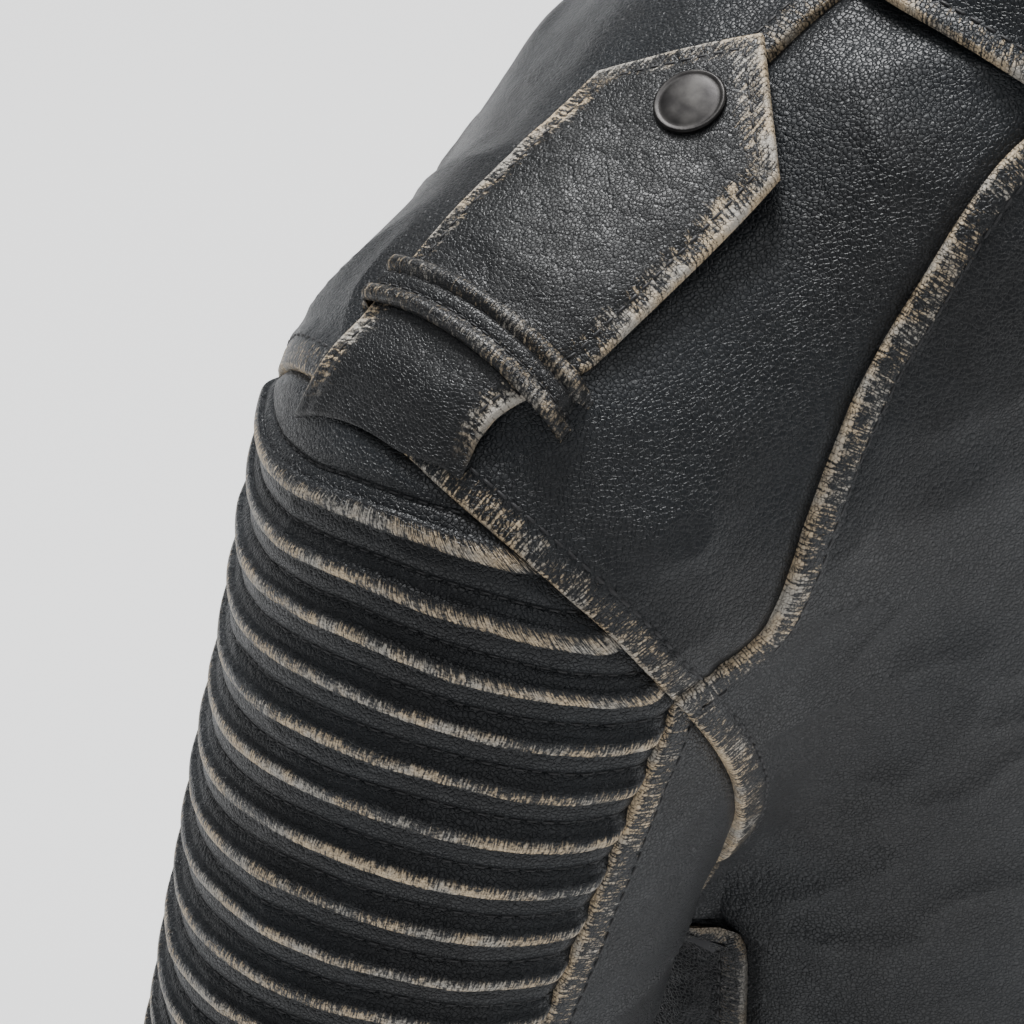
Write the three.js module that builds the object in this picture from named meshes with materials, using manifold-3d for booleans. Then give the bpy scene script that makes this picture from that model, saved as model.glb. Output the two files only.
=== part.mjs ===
// Leather riding jacket with padded rib sleeves, buttoned shoulder straps and metal zips.
// Millimetres, +Z up. The wearer faces -Y and the wearer's left arm is on +X.
// The jacket stands as it does on a body. Its origin is the crown of the hanger loop at the back of the neck,
// and all shapes are worked out in a hem frame (z = 0 at the hem) that one outer group then moves there.
import * as THREE from 'three';
import { mergeVertices } from 'three/addons/utils/BufferGeometryUtils.js';
import Module from 'manifold-3d';

const wasm = await Module();
wasm.setup();

// ---- driving dimensions ----
const BODY_LENGTH = 641;          // hem to the roof line at the neck
const SHOULDER_SLOPE = 14;        // degrees
const SHOULDER_ROUNDING = 88;
const CHEST_HALF_WIDTH = 156;     // at the armpit
const UPPER_HALF_WIDTH = 186;     // across the shoulder blades
const HEM_SPREAD = 14;            // added half width at the hem
const FRONT_Y = -128;             // front line at the hem
const FRONT_LEAN = 0.06;          // run back per mm of height
const BACK_Y = 116;
const SECTION_POWER = 2.3;        // squareness of the body section
const ARMPIT_Z = 372;
const SHOULDER_POINT = [175, 4, 520];
const ELBOW_POINT = [240, 20, 285];
const WRIST_POINT = [282, -62, -38];
const SHOULDER_RADIUS = 60;
const ELBOW_RADIUS = 48;
const WRIST_RADIUS = 41;
const NECK_HALF_WIDTH = 70;
const LEATHER = 1.4;
const RIB_PADDING = 2.4;          // how far the padded rib panel stands out
const SEAM_GAP = 0.5;             // clear space between neighbouring panels
const LINING = 0.7;
const LINING_DEPTH = 7;
const SEAM_LINING_DEPTH = 4.0;    // where the lining is caught in the armhole seam
const HEM_LINING_DEPTH = 5.4;
const FACING_DEPTH = 3.7;
const FACING = 1.2;
const FACING_WIDTH = 38;
const HEM_FACING_HEIGHT = 28;
const ZIP_HALF_OPENING = 7;       // centre line to leather edge, at every zip
const TAPE = 0.7;
const TAPE_DEPTH = 2.6;
const CHAIN_HALF_WIDTH = 3.6;
const CHAIN_SLOT = 1.6;           // slot between the two rows of teeth
const TEETH_HEIGHT = 2.4;
const SLIDER_LENGTH = 13;
const SLIDER_HALF_WIDTH = 5.2;
const PULL_LENGTH = 34;
const PULL_WIDTH = 7;
const PIN_RADIUS = 0.9;
const EYE_BORE = 1.25;
const CUFF_ZIP_LENGTH = 100;
const POCKET_ZIP_LENGTH = 140;
const POCKET_X = 98;
const POCKET_Z = 58;
const STRAP_WIDTH = 46;
const STRAP_THICKNESS = 2.6;
const STRAP_TIP_X = 124;
const STRAP_POINT = 19;           // length of the pointed end
const STRAP_END_X = 221;
const STRAP_Y = -4;
const STRAP_YAW = 0.09;
const HINGE_X = 192.8;
const KEEPER_WIDTH = 13;
const KEEPER_THICKNESS = 1.6;
const SNAP_X = 142;
const SNAP_RADIUS = 7.5;
const STAND_HEIGHT = 30;
const COLLAR_THICKNESS = 2.2;
const STAND_LEAN = 0.12;          // the stand leans towards the neck
const LEAF_CLEARANCE = 2.0;
const LOOP_HALF_SPAN = 26;
const LOOP_RISE = 12;
const LOOP_WIDTH = 5;
const LOOP_THICKNESS = 1.6;
const CLEAR = 0.35;               // running clearance between pieces that touch

const V = (x, y, z) => new THREE.Vector3(x, y, z);
const rad = THREE.MathUtils.degToRad;
const clamp = (x, lo, hi) => Math.min(hi, Math.max(lo, x));
const lerp = (a, b, t) => a + (b - a) * t;
const mix = (p, q, t) => p.clone().lerp(q, t);
const smooth = (lo, hi, x) => {
  const t = clamp((x - lo) / (hi - lo), 0, 1);
  return t * t * (3 - 2 * t);
};

// ---- materials ----
const finish = (color, roughness, metalness) => () => new THREE.MeshStandardMaterial({ color, roughness, metalness });
const leather = finish(0x24272b, 0.5, 0);
const ribLeather = finish(0x2c2f33, 0.45, 0);
const strapLeather = finish(0x1a1c1f, 0.38, 0);
const satin = finish(0x202226, 0.6, 0);
const metal = finish(0x4a4a4c, 0.35, 1);
const tapeCloth = finish(0x17181a, 0.85, 0);

// ---- the form: a smooth union of the body and the two arms, negative inside ----
function smoothMin(a, b, k) {
  const h = Math.max(k - Math.abs(a - b), 0) / k;
  return Math.min(a, b) - h * h * k / 4;
}
const smoothMax = (a, b, k) => -smoothMin(-a, -b, k);

const frontY = (z) => FRONT_Y + FRONT_LEAN * z;

function bodyField(p) {
  const x = Math.abs(p.x);
  const back = BACK_Y + 10 * Math.exp(-(((p.z - 430) / 120) ** 2)) - 58 * smooth(470, 680, p.z);
  const half = CHEST_HALF_WIDTH + (UPPER_HALF_WIDTH - CHEST_HALF_WIDTH) * smooth(400, 540, p.z)
    + HEM_SPREAD * clamp(1 - p.z / ARMPIT_Z, 0, 1);
  const middle = (frontY(p.z) + back) / 2;
  const depth = (back - frontY(p.z)) / 2;
  const n = SECTION_POWER;
  const q = ((x / half) ** n + (Math.abs(p.y - middle) / depth) ** n) ** (1 / n) + 1e-9;
  const wall = Math.hypot(x, p.y - middle) * (1 - 1 / q);
  const slope = rad(SHOULDER_SLOPE);
  const roof = (p.z - (BODY_LENGTH - Math.tan(slope) * x)) * Math.cos(slope);
  return smoothMax(wall, roof, SHOULDER_ROUNDING);
}

const ARM_JOINTS = [V(...SHOULDER_POINT), V(...ELBOW_POINT), V(...WRIST_POINT)];
const ARM_RADII = [SHOULDER_RADIUS, ELBOW_RADIUS, WRIST_RADIUS];

function roundCone(p, a, b, ra, rb) {
  const ab = b.clone().sub(a);
  const t = clamp(p.clone().sub(a).dot(ab) / ab.lengthSq(), 0, 1);
  return p.distanceTo(a.clone().addScaledVector(ab, t)) - lerp(ra, rb, t);
}

function armField(p) {
  const q = V(Math.abs(p.x), p.y, p.z);
  const upper = roundCone(q, ARM_JOINTS[0], ARM_JOINTS[1], ARM_RADII[0], ARM_RADII[1]);
  const lower = roundCone(q, ARM_JOINTS[1], ARM_JOINTS[2], ARM_RADII[1], ARM_RADII[2]);
  return smoothMin(upper, lower, 20);
}

// Above the armpit body and arm flow into each other. Below it each has its own surface.
function makeField(bodyPart, armPart) {
  return (p) => {
    const apart = 80 * (1 - smooth(ARMPIT_Z - 4, ARMPIT_Z + 30, p.z));
    const body = bodyField(p) + (bodyPart ? 0 : apart);
    const arm = armField(p) + (armPart ? 0 : apart);
    return smoothMin(body, arm, 6 + 28 * smooth(ARMPIT_Z, ARMPIT_Z + 110, p.z));
  };
}
const whole = makeField(true, true);
const bodySide = makeField(true, false);
const armSide = makeField(false, true);

function gradient(field, p) {
  const e = 0.5;
  return V(
    field(V(p.x + e, p.y, p.z)) - field(V(p.x - e, p.y, p.z)),
    field(V(p.x, p.y + e, p.z)) - field(V(p.x, p.y - e, p.z)),
    field(V(p.x, p.y, p.z + e)) - field(V(p.x, p.y, p.z - e)),
  ).multiplyScalar(1 / (2 * e));
}
const normalAt = (field, p) => gradient(field, p).normalize();

// Moves a point to the surface along the gradient; level keeps its height.
function toSurface(field, start, level = false) {
  const p = start.clone();
  for (let i = 0; i < 14; i++) {
    const g = gradient(field, p);
    if (level) g.z = 0;
    p.addScaledVector(g, -field(p) / Math.max(g.lengthSq(), 1e-3));
  }
  return p;
}

// First crossing of the surface on a ray that starts inside.
function outAlong(field, start, direction) {
  let near = 0;
  let far = 5;
  while (field(start.clone().addScaledVector(direction, far)) < 0 && far < 400) {
    near = far;
    far += 4;
  }
  for (let i = 0; i < 26; i++) {
    const middle = (near + far) / 2;
    if (field(start.clone().addScaledVector(direction, middle)) < 0) near = middle;
    else far = middle;
  }
  return start.clone().addScaledVector(direction, near);
}

function onTop(x, y) {
  return outAlong(whole, V(x, y, 480), V(0, 0, 1));
}

// ---- seam lines of the left half, each a list of points that both neighbours use ----
const range = (n) => Array.from({ length: n + 1 }, (_, i) => i / n);
const ARM_PIVOT = V(0, 4, 500);

function armholePoint(degrees) {
  const a = rad(degrees);
  const x = 188.5 + 30.5 * Math.cos(a) + 2.5 * Math.sin(a) + 1.3 * Math.cos(2 * a) + 1.5 * Math.sin(2 * a);
  return outAlong(whole, V(x, ARM_PIVOT.y, ARM_PIVOT.z), V(0, -Math.sin(a), Math.cos(a)));
}
const armholeArc = (from, to, n) => range(n).map((t) => armholePoint(lerp(from, to, t)));

const YOKE_ANGLE = 80;
const armTopFront = armholeArc(0, YOKE_ANGLE, 5);
const armFront = armholeArc(YOKE_ANGLE, 150, 4);
const armBottom = armholeArc(150, 215, 4);
const armBack = armholeArc(215, 285, 4);
const armTopBack = armholeArc(285, 360, 5);

function neckPoint(degrees) {
  const a = rad(degrees);
  const z = 573 + 27.5 * (1 - Math.cos(a)) + 20 * Math.sin(a) ** 2;
  const p = toSurface(whole, V(NECK_HALF_WIDTH * Math.sin(a), -19 - 75 * Math.cos(a), z));
  if (Math.sin(a) < 1e-6) p.x = 0;
  return p;
}
const NECK_START = THREE.MathUtils.radToDeg(Math.asin(ZIP_HALF_OPENING / NECK_HALF_WIDTH));
const neckFront = range(3).map((t) => neckPoint(lerp(NECK_START, 52, t)));
neckFront[0].x = ZIP_HALF_OPENING;
const neckYoke = range(5).map((t) => neckPoint(lerp(52, 96, t)));
const neckBack = range(5).map((t) => neckPoint(lerp(96, 180, t)));

const bodyPoint = (x, y, z) => toSurface(bodySide, V(x, y, z), true);
const hemAt = (degrees) => bodyPoint(170 * Math.sin(rad(degrees)), -6 - 120 * Math.cos(rad(degrees)), 0);
const HEM_START = THREE.MathUtils.radToDeg(Math.asin(ZIP_HALF_OPENING / 170));
const hemFront = range(7).map((t) => hemAt(lerp(HEM_START, 68, t)));
hemFront[0].x = ZIP_HALF_OPENING;
const hemSide = range(4).map((t) => hemAt(lerp(68, 115, t)));
const hemBack = range(9).map((t) => hemAt(lerp(115, 180, t)));
hemBack[9].x = 0;

function sideSeam(from, to, n) {
  return range(n).map((t) => {
    if (t === 0) return from.clone();
    if (t === 1) return to.clone();
    const p = mix(from, to, t);
    return bodyPoint(p.x, p.y, p.z);
  });
}
const last = (list) => list[list.length - 1];
const sideFront = sideSeam(last(hemFront), last(armFront), 7);
const sideBack = sideSeam(hemBack[0], last(armBottom), 7);
const zipLine = range(11).map((t) => {
  const z = neckFront[0].z * t;
  return t === 1 ? neckFront[0].clone() : bodyPoint(ZIP_HALF_OPENING, frontY(z), z);
});
zipLine.forEach((p) => { p.x = ZIP_HALF_OPENING; });
zipLine[0].copy(hemFront[0]);

// The yoke seam leaves the armhole flat, then sweeps up to the neck.
const yokeStart = last(armTopFront);
const yokeCurve = new THREE.CatmullRomCurve3([
  yokeStart,
  yokeStart.clone().add(V(-18, -7, 10)),
  yokeStart.clone().add(V(-30, -10, 35)),
  yokeStart.clone().add(V(-52, -8, 66)),
  yokeStart.clone().add(V(-92, -6, 94)),
  last(neckFront),
]);
const yokeSeam = range(4).map((t) => {
  const p = yokeCurve.getPoint(t);
  return t === 0 || t === 1 ? p : toSurface(whole, p);
});
const shoulderSeam = range(4).map((t) => {
  const p = mix(last(neckYoke), armTopFront[0], t);
  return t === 0 || t === 1 ? p : onTop(p.x, p.y);
});
const BACK_SEAM_DROP = 9;
const backSeam = range(9).map((t) => {
  const from = last(armBack);
  if (t === 0) return from.clone();
  const x = from.x * (1 - t);
  const y = BACK_Y - 55 * (x / from.x) ** 3;
  return bodyPoint(x, y, from.z - BACK_SEAM_DROP * (1 - (1 - t) ** 2));
});

// ---- patches: a grid of points between four edges, pulled onto the surface ----
const reversed = (list) => list.map((p) => p.clone()).reverse();
const joined = (...lists) => lists.flatMap((list, i) => (i ? list.slice(1) : list)).map((p) => p.clone());
const mirrored = (list) => list.map((p) => V(-p.x, p.y, p.z));

function coons(bottom, top, left, right, place) {
  const n = bottom.length - 1;
  const m = left.length - 1;
  return range(m).map((v, j) => range(n).map((u, i) => {
    if (j === 0) return bottom[i].clone();
    if (j === m) return top[i].clone();
    if (i === 0) return left[j].clone();
    if (i === n) return right[j].clone();
    const p = mix(bottom[i], top[i], v).add(mix(left[j], right[j], u));
    const corners = mix(mix(bottom[0], bottom[n], u), mix(top[0], top[n], u), v);
    return place(p.sub(corners));
  }));
}
const levelPlace = (p) => toSurface(bodySide, p, true);
const freePlace = (p) => toSurface(whole, p);
const mirrorGrid = (grid) => grid.map((row) => mirrored(row));

const frontPatch = coons(hemFront, joined(neckFront, yokeSeamDown()), zipLine, joined(sideFront, reversed(armFront)),
  levelPlace);
function yokeSeamDown() {
  return reversed(yokeSeam);
}
const yokePatch = coons(yokeSeamDown(), shoulderSeam, neckYoke, reversed(armTopFront), freePlace);
const sidePatch = coons(hemSide, armBottom, sideFront, sideBack, levelPlace);
const centreBack = range(11).map((t) => {
  const z = last(backSeam).z * t;
  if (t === 0) return last(hemBack).clone();
  return t === 1 ? last(backSeam).clone() : bodyPoint(0, BACK_Y, z);
});
const backPatch = coons(hemBack, backSeam, joined(sideBack, armBack), centreBack, levelPlace);
const yokeBackTop = joined(reversed(shoulderSeam), neckBack);
const centreYoke = range(5).map((t) => {
  const p = mix(last(backSeam), last(neckBack), t);
  return t === 0 || t === 1 ? p : freePlace(p);
});
const backYokePatch = coons(backSeam, yokeBackTop, armTopBack, centreYoke, freePlace);

// ---- sleeve patches, worked out in distance along the arm and angle round it ----
const UPPER_LENGTH = ARM_JOINTS[0].distanceTo(ARM_JOINTS[1]);
const LOWER_LENGTH = ARM_JOINTS[1].distanceTo(ARM_JOINTS[2]);
const SLEEVE_END = UPPER_LENGTH + LOWER_LENGTH;
const upperAxis = ARM_JOINTS[1].clone().sub(ARM_JOINTS[0]).normalize();
const lowerAxis = ARM_JOINTS[2].clone().sub(ARM_JOINTS[1]).normalize();

function armFrame(s) {
  const bend = smooth(UPPER_LENGTH - 50, UPPER_LENGTH + 50, s);
  const axis = upperAxis.clone().lerp(lowerAxis, bend).normalize();
  const centre = s < UPPER_LENGTH
    ? ARM_JOINTS[0].clone().addScaledVector(upperAxis, s)
    : ARM_JOINTS[1].clone().addScaledVector(lowerAxis, s - UPPER_LENGTH);
  const front = V(0, -1, 0);
  front.addScaledVector(axis, -front.dot(axis)).normalize();
  const outward = front.clone().cross(axis);
  return { centre, axis, front, outward };
}

function sleevePoint(s, degrees) {
  const frame = armFrame(s);
  const direction = frame.front.clone().multiplyScalar(Math.cos(rad(degrees)))
    .addScaledVector(frame.outward, Math.sin(rad(degrees)));
  return outAlong(armSide, frame.centre, direction);
}

// Distance and angle of a point beside the upper arm, with the angle near a hint.
function armPlace(p, hint) {
  const s = p.clone().sub(ARM_JOINTS[0]).dot(upperAxis);
  const frame = armFrame(s);
  const offset = p.clone().sub(frame.centre);
  let degrees = THREE.MathUtils.radToDeg(Math.atan2(offset.dot(frame.outward), offset.dot(frame.front)));
  while (degrees - hint > 180) degrees -= 360;
  while (degrees - hint < -180) degrees += 360;
  return { s, degrees, p };
}

const ELBOW_SEAM = 262;           // cross seam under the ribs
const FRONT_SEAM_BEND = 10;       // how far the front seam swings outward at the elbow, degrees
const BACK_SEAM_BEND = -12;
const seamStart = armPlace(last(armTopFront), 15);
const seamBackStart = armPlace(last(armBack), 175);

function sleeveSeam(start, swing, from, to, n) {
  return range(n).map((t) => {
    const s = lerp(from, to, t);
    const degrees = start.degrees + swing * Math.sin(rad(clamp((s - start.s) / 300, 0, 1) * 90));
    return { s, degrees, p: s === start.s ? start.p : sleevePoint(s, degrees) };
  });
}
const frontUpper = sleeveSeam(seamStart, FRONT_SEAM_BEND, seamStart.s, ELBOW_SEAM, 8);
const frontLower = sleeveSeam(seamStart, FRONT_SEAM_BEND, ELBOW_SEAM, SLEEVE_END, 8);
const backUpper = sleeveSeam(seamBackStart, BACK_SEAM_BEND, seamBackStart.s, ELBOW_SEAM, 8);
const backLower = sleeveSeam(seamBackStart, BACK_SEAM_BEND, ELBOW_SEAM, SLEEVE_END, 8);

const ring = (a, b, n) => range(n).map((t) => {
  const s = lerp(a.s, b.s, t);
  const degrees = lerp(a.degrees, b.degrees, t);
  return { s, degrees, p: t === 0 ? a.p : t === 1 ? b.p : sleevePoint(s, degrees) };
});

// The same bilinear blend on distance and angle; each inner point is then cast out from the arm's axis.
function sleeveGrid(top, bottom, left, right) {
  const n = top.length - 1;
  const m = left.length - 1;
  return range(m).map((v, j) => range(n).map((u, i) => {
    if (j === 0) return top[i].p.clone();
    if (j === m) return bottom[i].p.clone();
    if (i === 0) return left[j].p.clone();
    if (i === n) return right[j].p.clone();
    const blend = (key) => lerp(top[i][key], bottom[i][key], v) + lerp(left[j][key], right[j][key], u)
      - lerp(lerp(top[0][key], top[n][key], u), lerp(bottom[0][key], bottom[n][key], u), v);
    return sleevePoint(blend('s'), blend('degrees'));
  }));
}

const placed = (list, hint) => list.map((p) => armPlace(p, hint));
function split(a, b, n) {
  return range(n).map((t) => armPlace(mix(a, b, t), 90));
}
// The rib panel starts as a short edge across the sleeve head.
const ribTop = [
  ...split(armTopBack[4], armTopFront[0], 4),
  ...split(armTopFront[0], armTopFront[1], 4).slice(1),
];
const ribBack = [...placed(reversed(armTopBack.slice(0, 5)), 140), ...backUpper.slice(1)];
const ribFront = [...placed(armTopFront.slice(1), 50), ...frontUpper.slice(1)];
const elbowRing = ring(last(backUpper), last(frontUpper), 8);
const cuffRing = ring(last(backLower), last(frontLower), 8);
const ribPatch = sleeveGrid(ribTop, elbowRing, ribBack, ribFront);
const forearmPatch = sleeveGrid(elbowRing, cuffRing, backLower, frontLower);

const underBack = [...backUpper, ...backLower.slice(1)].map((q) => ({ ...q, degrees: q.degrees - 360 }));
const underFront = [...frontUpper, ...frontLower.slice(1)];
const underTop = [...placed(armFront, 0), ...placed(armBottom, -80).slice(1), ...placed(armBack, -150).slice(1)];
const underCuff = ring(last(underFront), last(underBack), 12);
const underPatch = sleeveGrid(underTop, underCuff, underFront, underBack);

// ---- closed shells from patches ----
function meshFrom(positions, triangles) {
  const geometry = new THREE.BufferGeometry();
  geometry.setAttribute('position', new THREE.Float32BufferAttribute(positions.flatMap((p) => p.toArray()), 3));
  geometry.setIndex(triangles.flat());
  return geometry;
}

// Joins patches at shared points, offsets the skin by outer and inner along its normals and closes the free edges.
function shell(patches, { field = whole, outer = 0, inner = -LEATHER, inset = SEAM_GAP / 2 }) {
  const points = [];
  const index = new Map();
  const quads = [];
  const idOf = (p) => {
    const key = p.toArray().map((c) => Math.round(c * 1000)).join();
    if (!index.has(key)) {
      index.set(key, points.length);
      points.push(p);
    }
    return index.get(key);
  };
  for (const grid of patches) {
    for (let j = 0; j + 1 < grid.length; j++) {
      for (let i = 0; i + 1 < grid[0].length; i++) {
        quads.push([grid[j][i], grid[j][i + 1], grid[j + 1][i + 1], grid[j + 1][i]].map(idOf));
      }
    }
  }
  const normals = points.map((p) => normalAt(field, p));
  const faces = quads.map((quad) => {
    const [a, b, c, d] = quad.map((k) => points[k]);
    const facing = c.clone().sub(a).cross(d.clone().sub(b));
    const outward = quad.reduce((sum, k) => sum.add(normals[k]), V(0, 0, 0));
    return facing.dot(outward) > 0 ? quad : [...quad].reverse();
  });
  const edges = new Map();
  for (const face of faces) {
    face.forEach((a, k) => edges.set(`${a},${face[(k + 1) % 4]}`, [a, face[(k + 1) % 4]]));
  }
  const free = [...edges.values()].filter(([a, b]) => !edges.has(`${b},${a}`));
  const boundary = new Set(free.flat());
  const moves = points.map(() => V(0, 0, 0));
  for (const face of faces) {
    const centre = face.reduce((sum, k) => sum.addScaledVector(points[k], 0.25), V(0, 0, 0));
    face.forEach((k) => moves[k].add(centre.clone().sub(points[k]).normalize()));
  }
  const corners = new Map();
  faces.forEach((face) => face.forEach((k) => corners.set(k, (corners.get(k) ?? 0) + 1)));
  const seat = points.map((p, k) => {
    if (!boundary.has(k)) return p;
    const reach = corners.get(k) === 1 ? inset * Math.SQRT2 : inset;
    const move = moves[k].clone().normalize().multiplyScalar(reach);
    if (Math.abs(p.z) < 1e-3) move.z = 0;
    return p.clone().add(move);
  });
  const offset = (amount) => seat.map((p, k) => {
    const depth = typeof amount === 'function' ? amount(p) : amount;
    const normal = normals[k].clone();
    if (Math.abs(points[k].z) < 1e-3) normal.setZ(0).normalize();
    if (Math.abs(points[k].x) < 1e-6) normal.setX(0).normalize();
    return p.clone().addScaledVector(normal, depth);
  });
  const count = points.length;
  const triangles = [];
  for (const face of faces) {
    const [p, q, m, n] = face.map((k) => points[k]);
    // The shorter diagonal keeps long skewed cells from folding.
    const [a, b, c, d] = p.distanceTo(m) < q.distanceTo(n) ? face : [...face.slice(1), face[0]];
    triangles.push([a, b, c], [a, c, d], [a + count, c + count, b + count], [a + count, d + count, c + count]);
  }
  // Both walls of a seam split along the same diagonal, so a twisted pair still keeps its gap.
  for (const [a, b] of free) {
    if (points[a].z + points[a].y < points[b].z + points[b].y) {
      triangles.push([b, a, b + count], [a, a + count, b + count]);
    } else {
      triangles.push([b, a, a + count], [b, a + count, b + count]);
    }
  }
  return meshFrom([...offset(outer), ...offset(inner)], triangles);
}

// A closed plate between two grids of the same size.
function plate(upper, lower) {
  const m = upper.length;
  const n = upper[0].length;
  const id = (side, j, i) => side * m * n + j * n + i;
  const triangles = [];
  const quad = (a, b, c, d) => triangles.push([a, b, c], [a, c, d]);
  for (let j = 0; j + 1 < m; j++) {
    for (let i = 0; i + 1 < n; i++) {
      quad(id(0, j, i), id(0, j, i + 1), id(0, j + 1, i + 1), id(0, j + 1, i));
      quad(id(1, j, i), id(1, j + 1, i), id(1, j + 1, i + 1), id(1, j, i + 1));
    }
  }
  for (let i = 0; i + 1 < n; i++) {
    quad(id(0, 0, i + 1), id(0, 0, i), id(1, 0, i), id(1, 0, i + 1));
    quad(id(0, m - 1, i), id(0, m - 1, i + 1), id(1, m - 1, i + 1), id(1, m - 1, i));
  }
  for (let j = 0; j + 1 < m; j++) {
    quad(id(0, j, 0), id(0, j + 1, 0), id(1, j + 1, 0), id(1, j, 0));
    quad(id(0, j + 1, n - 1), id(0, j, n - 1), id(1, j, n - 1), id(1, j + 1, n - 1));
  }
  return facingOut(meshFrom([...upper.flat(), ...lower.flat()], triangles));
}

function signedVolume(geometry) {
  const at = geometry.attributes.position;
  const order = geometry.index.array;
  const corner = (k) => V(at.getX(order[k]), at.getY(order[k]), at.getZ(order[k]));
  let sum = 0;
  for (let k = 0; k < order.length; k += 3) sum += corner(k).dot(corner(k + 1).cross(corner(k + 2)));
  return sum / 6;
}

function facingOut(geometry) {
  if (signedVolume(geometry) > 0) return geometry;
  const order = geometry.index.array;
  for (let k = 0; k < order.length; k += 3) [order[k], order[k + 1]] = [order[k + 1], order[k]];
  return geometry;
}

function mirrorGeometry(geometry) {
  const copy = geometry.clone();
  copy.scale(-1, 1, 1);
  const order = copy.index.array;
  for (let k = 0; k < order.length; k += 3) [order[k], order[k + 1]] = [order[k + 1], order[k]];
  return copy;
}

// ---- booleans ----
function toSolid(geometry) {
  const bare = geometry.clone();
  bare.deleteAttribute('normal');
  bare.deleteAttribute('uv');
  const merged = mergeVertices(bare, 1e-4);
  return new wasm.Manifold(new wasm.Mesh({
    numProp: 3,
    vertProperties: new Float32Array(merged.attributes.position.array),
    triVerts: new Uint32Array(merged.index.array),
  }));
}

function fromSolid(solid) {
  const mesh = solid.getMesh();
  const geometry = new THREE.BufferGeometry();
  geometry.setAttribute('position', new THREE.BufferAttribute(new Float32Array(mesh.vertProperties), 3));
  geometry.setIndex(new THREE.BufferAttribute(new Uint32Array(mesh.triVerts), 1));
  return geometry;
}
const unite = (...list) => fromSolid(list.map(toSolid).reduce((a, b) => a.add(b)));
const cut = (body, ...tools) => fromSolid(tools.map(toSolid).reduce((a, b) => a.subtract(b), toSolid(body)));

// A box between two corners.
function block(x0, x1, y0, y1, z0, z1) {
  const box = new THREE.BoxGeometry(x1 - x0, y1 - y0, z1 - z0);
  return box.translate((x0 + x1) / 2, (y0 + y1) / 2, (z0 + z1) / 2);
}

// ---- the assembly ----
const jacket = new THREE.Group();
const hemFrame = new THREE.Group();
jacket.add(hemFrame);

function add(name, geometry, material, parent = hemFrame) {
  const mesh = new THREE.Mesh(geometry, material());
  mesh.name = name;
  parent.add(mesh);
  return mesh;
}
const SIDES = [['left', 1], ['right', -1]];

function addPair(name, geometry, material) {
  for (const [side, sign] of SIDES) add(`${name}_${side}`, sign > 0 ? geometry : mirrorGeometry(geometry), material);
}

// ---- zips: a straight chain in its own frame, x across, y along, z out of the leather ----
function zipFrame(start, end, normal) {
  const along = end.clone().sub(start).normalize();
  const out = normal.clone().addScaledVector(along, -normal.dot(along)).normalize();
  const group = new THREE.Group();
  group.position.copy(start);
  group.quaternion.setFromRotationMatrix(new THREE.Matrix4().makeBasis(along.clone().cross(out), along, out));
  hemFrame.add(group);
  return group;
}

function sliderGeometry(depth) {
  const top = -depth + CHAIN_CLEAR_TOP;
  const bottom = -depth - TAPE - CHAIN_CLEAR_TOP;
  const w = SLIDER_HALF_WIDTH;
  const half = SLIDER_LENGTH / 2;
  const web = CHAIN_SLOT / 2 - CLEAR;
  const pin = new THREE.CylinderGeometry(PIN_RADIUS, PIN_RADIUS, 5.6, 12).rotateZ(Math.PI / 2)
    .translate(0, PIN_Y, top + SLIDER_PLATE + PIN_RISE);
  const lugs = [-1, 1].map((sign) => {
    const x = sign * 2.7;
    return block(x - 0.6, x + 0.6, PIN_Y - 1.5, PIN_Y + 1.5, top + 0.5, top + SLIDER_PLATE + PIN_RISE + 1.4);
  });
  return unite(
    block(-w, w, -half, half, top, top + SLIDER_PLATE),
    block(-w, w, -half, half, bottom - SLIDER_PLATE, bottom),
    block(-web, web, -half + 2, half - 2, bottom - 0.5, top + 0.5),
    pin,
    ...lugs,
  );
}
const SLIDER_PLATE = 1.3;
const CHAIN_CLEAR_TOP = (TEETH_HEIGHT - TAPE) / 2 + CLEAR;
const PIN_Y = 2;
const PIN_RISE = 2.2;
const PULL_THICKNESS = 1.5;

function pullGeometry() {
  const outline = new THREE.Shape();
  outline.absarc(0, 0, 2.1, 0, Math.PI * 2);
  const bore = new THREE.Path();
  bore.absarc(0, 0, EYE_BORE, 0, Math.PI * 2);
  outline.holes.push(bore);
  const eye = new THREE.ExtrudeGeometry(outline, { depth: 3.4, bevelEnabled: false, curveSegments: 8 })
    .translate(0, 0, -1.7).rotateY(Math.PI / 2);
  const neck = block(-1.7, 1.7, -9, -1.6, -PULL_THICKNESS / 2, PULL_THICKNESS / 2);
  const tab = block(-PULL_WIDTH / 2, PULL_WIDTH / 2, -PULL_LENGTH, -8, -PULL_THICKNESS / 2, PULL_THICKNESS / 2);
  return unite(eye, neck, tab);
}

function addSlider(name, group, y, depth) {
  const slider = add(`${name}_slider`, sliderGeometry(depth), metal, group);
  slider.position.y = y;
  const pull = add(`${name}_pull`, pullGeometry(), metal, group);
  pull.position.set(0, y + PIN_Y, -depth + CHAIN_CLEAR_TOP + SLIDER_PLATE + PIN_RISE);
}

// Tape and teeth of a closed-end zip, each one piece round the slot.
function addClosedZip(name, group, length, depth, tapeHalf, end) {
  const z1 = -depth;
  const z0 = -depth - TAPE;
  const inner = CHAIN_HALF_WIDTH + CLEAR;
  const tape = cut(block(-tapeHalf, tapeHalf, -end, length + end, z0, z1),
    block(-inner, inner, -CLEAR, length + CLEAR, z0 - 1, z1 + 1));
  const rise = (TEETH_HEIGHT - TAPE) / 2;
  const teeth = cut(block(-CHAIN_HALF_WIDTH, CHAIN_HALF_WIDTH, 0, length, z0 - rise, z1 + rise),
    block(-CHAIN_SLOT / 2, CHAIN_SLOT / 2, 2, length - 2, z0 - 3, z1 + 3));
  add(`${name}_tape`, tape, tapeCloth, group);
  add(`${name}_teeth`, teeth, metal, group);
}

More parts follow.
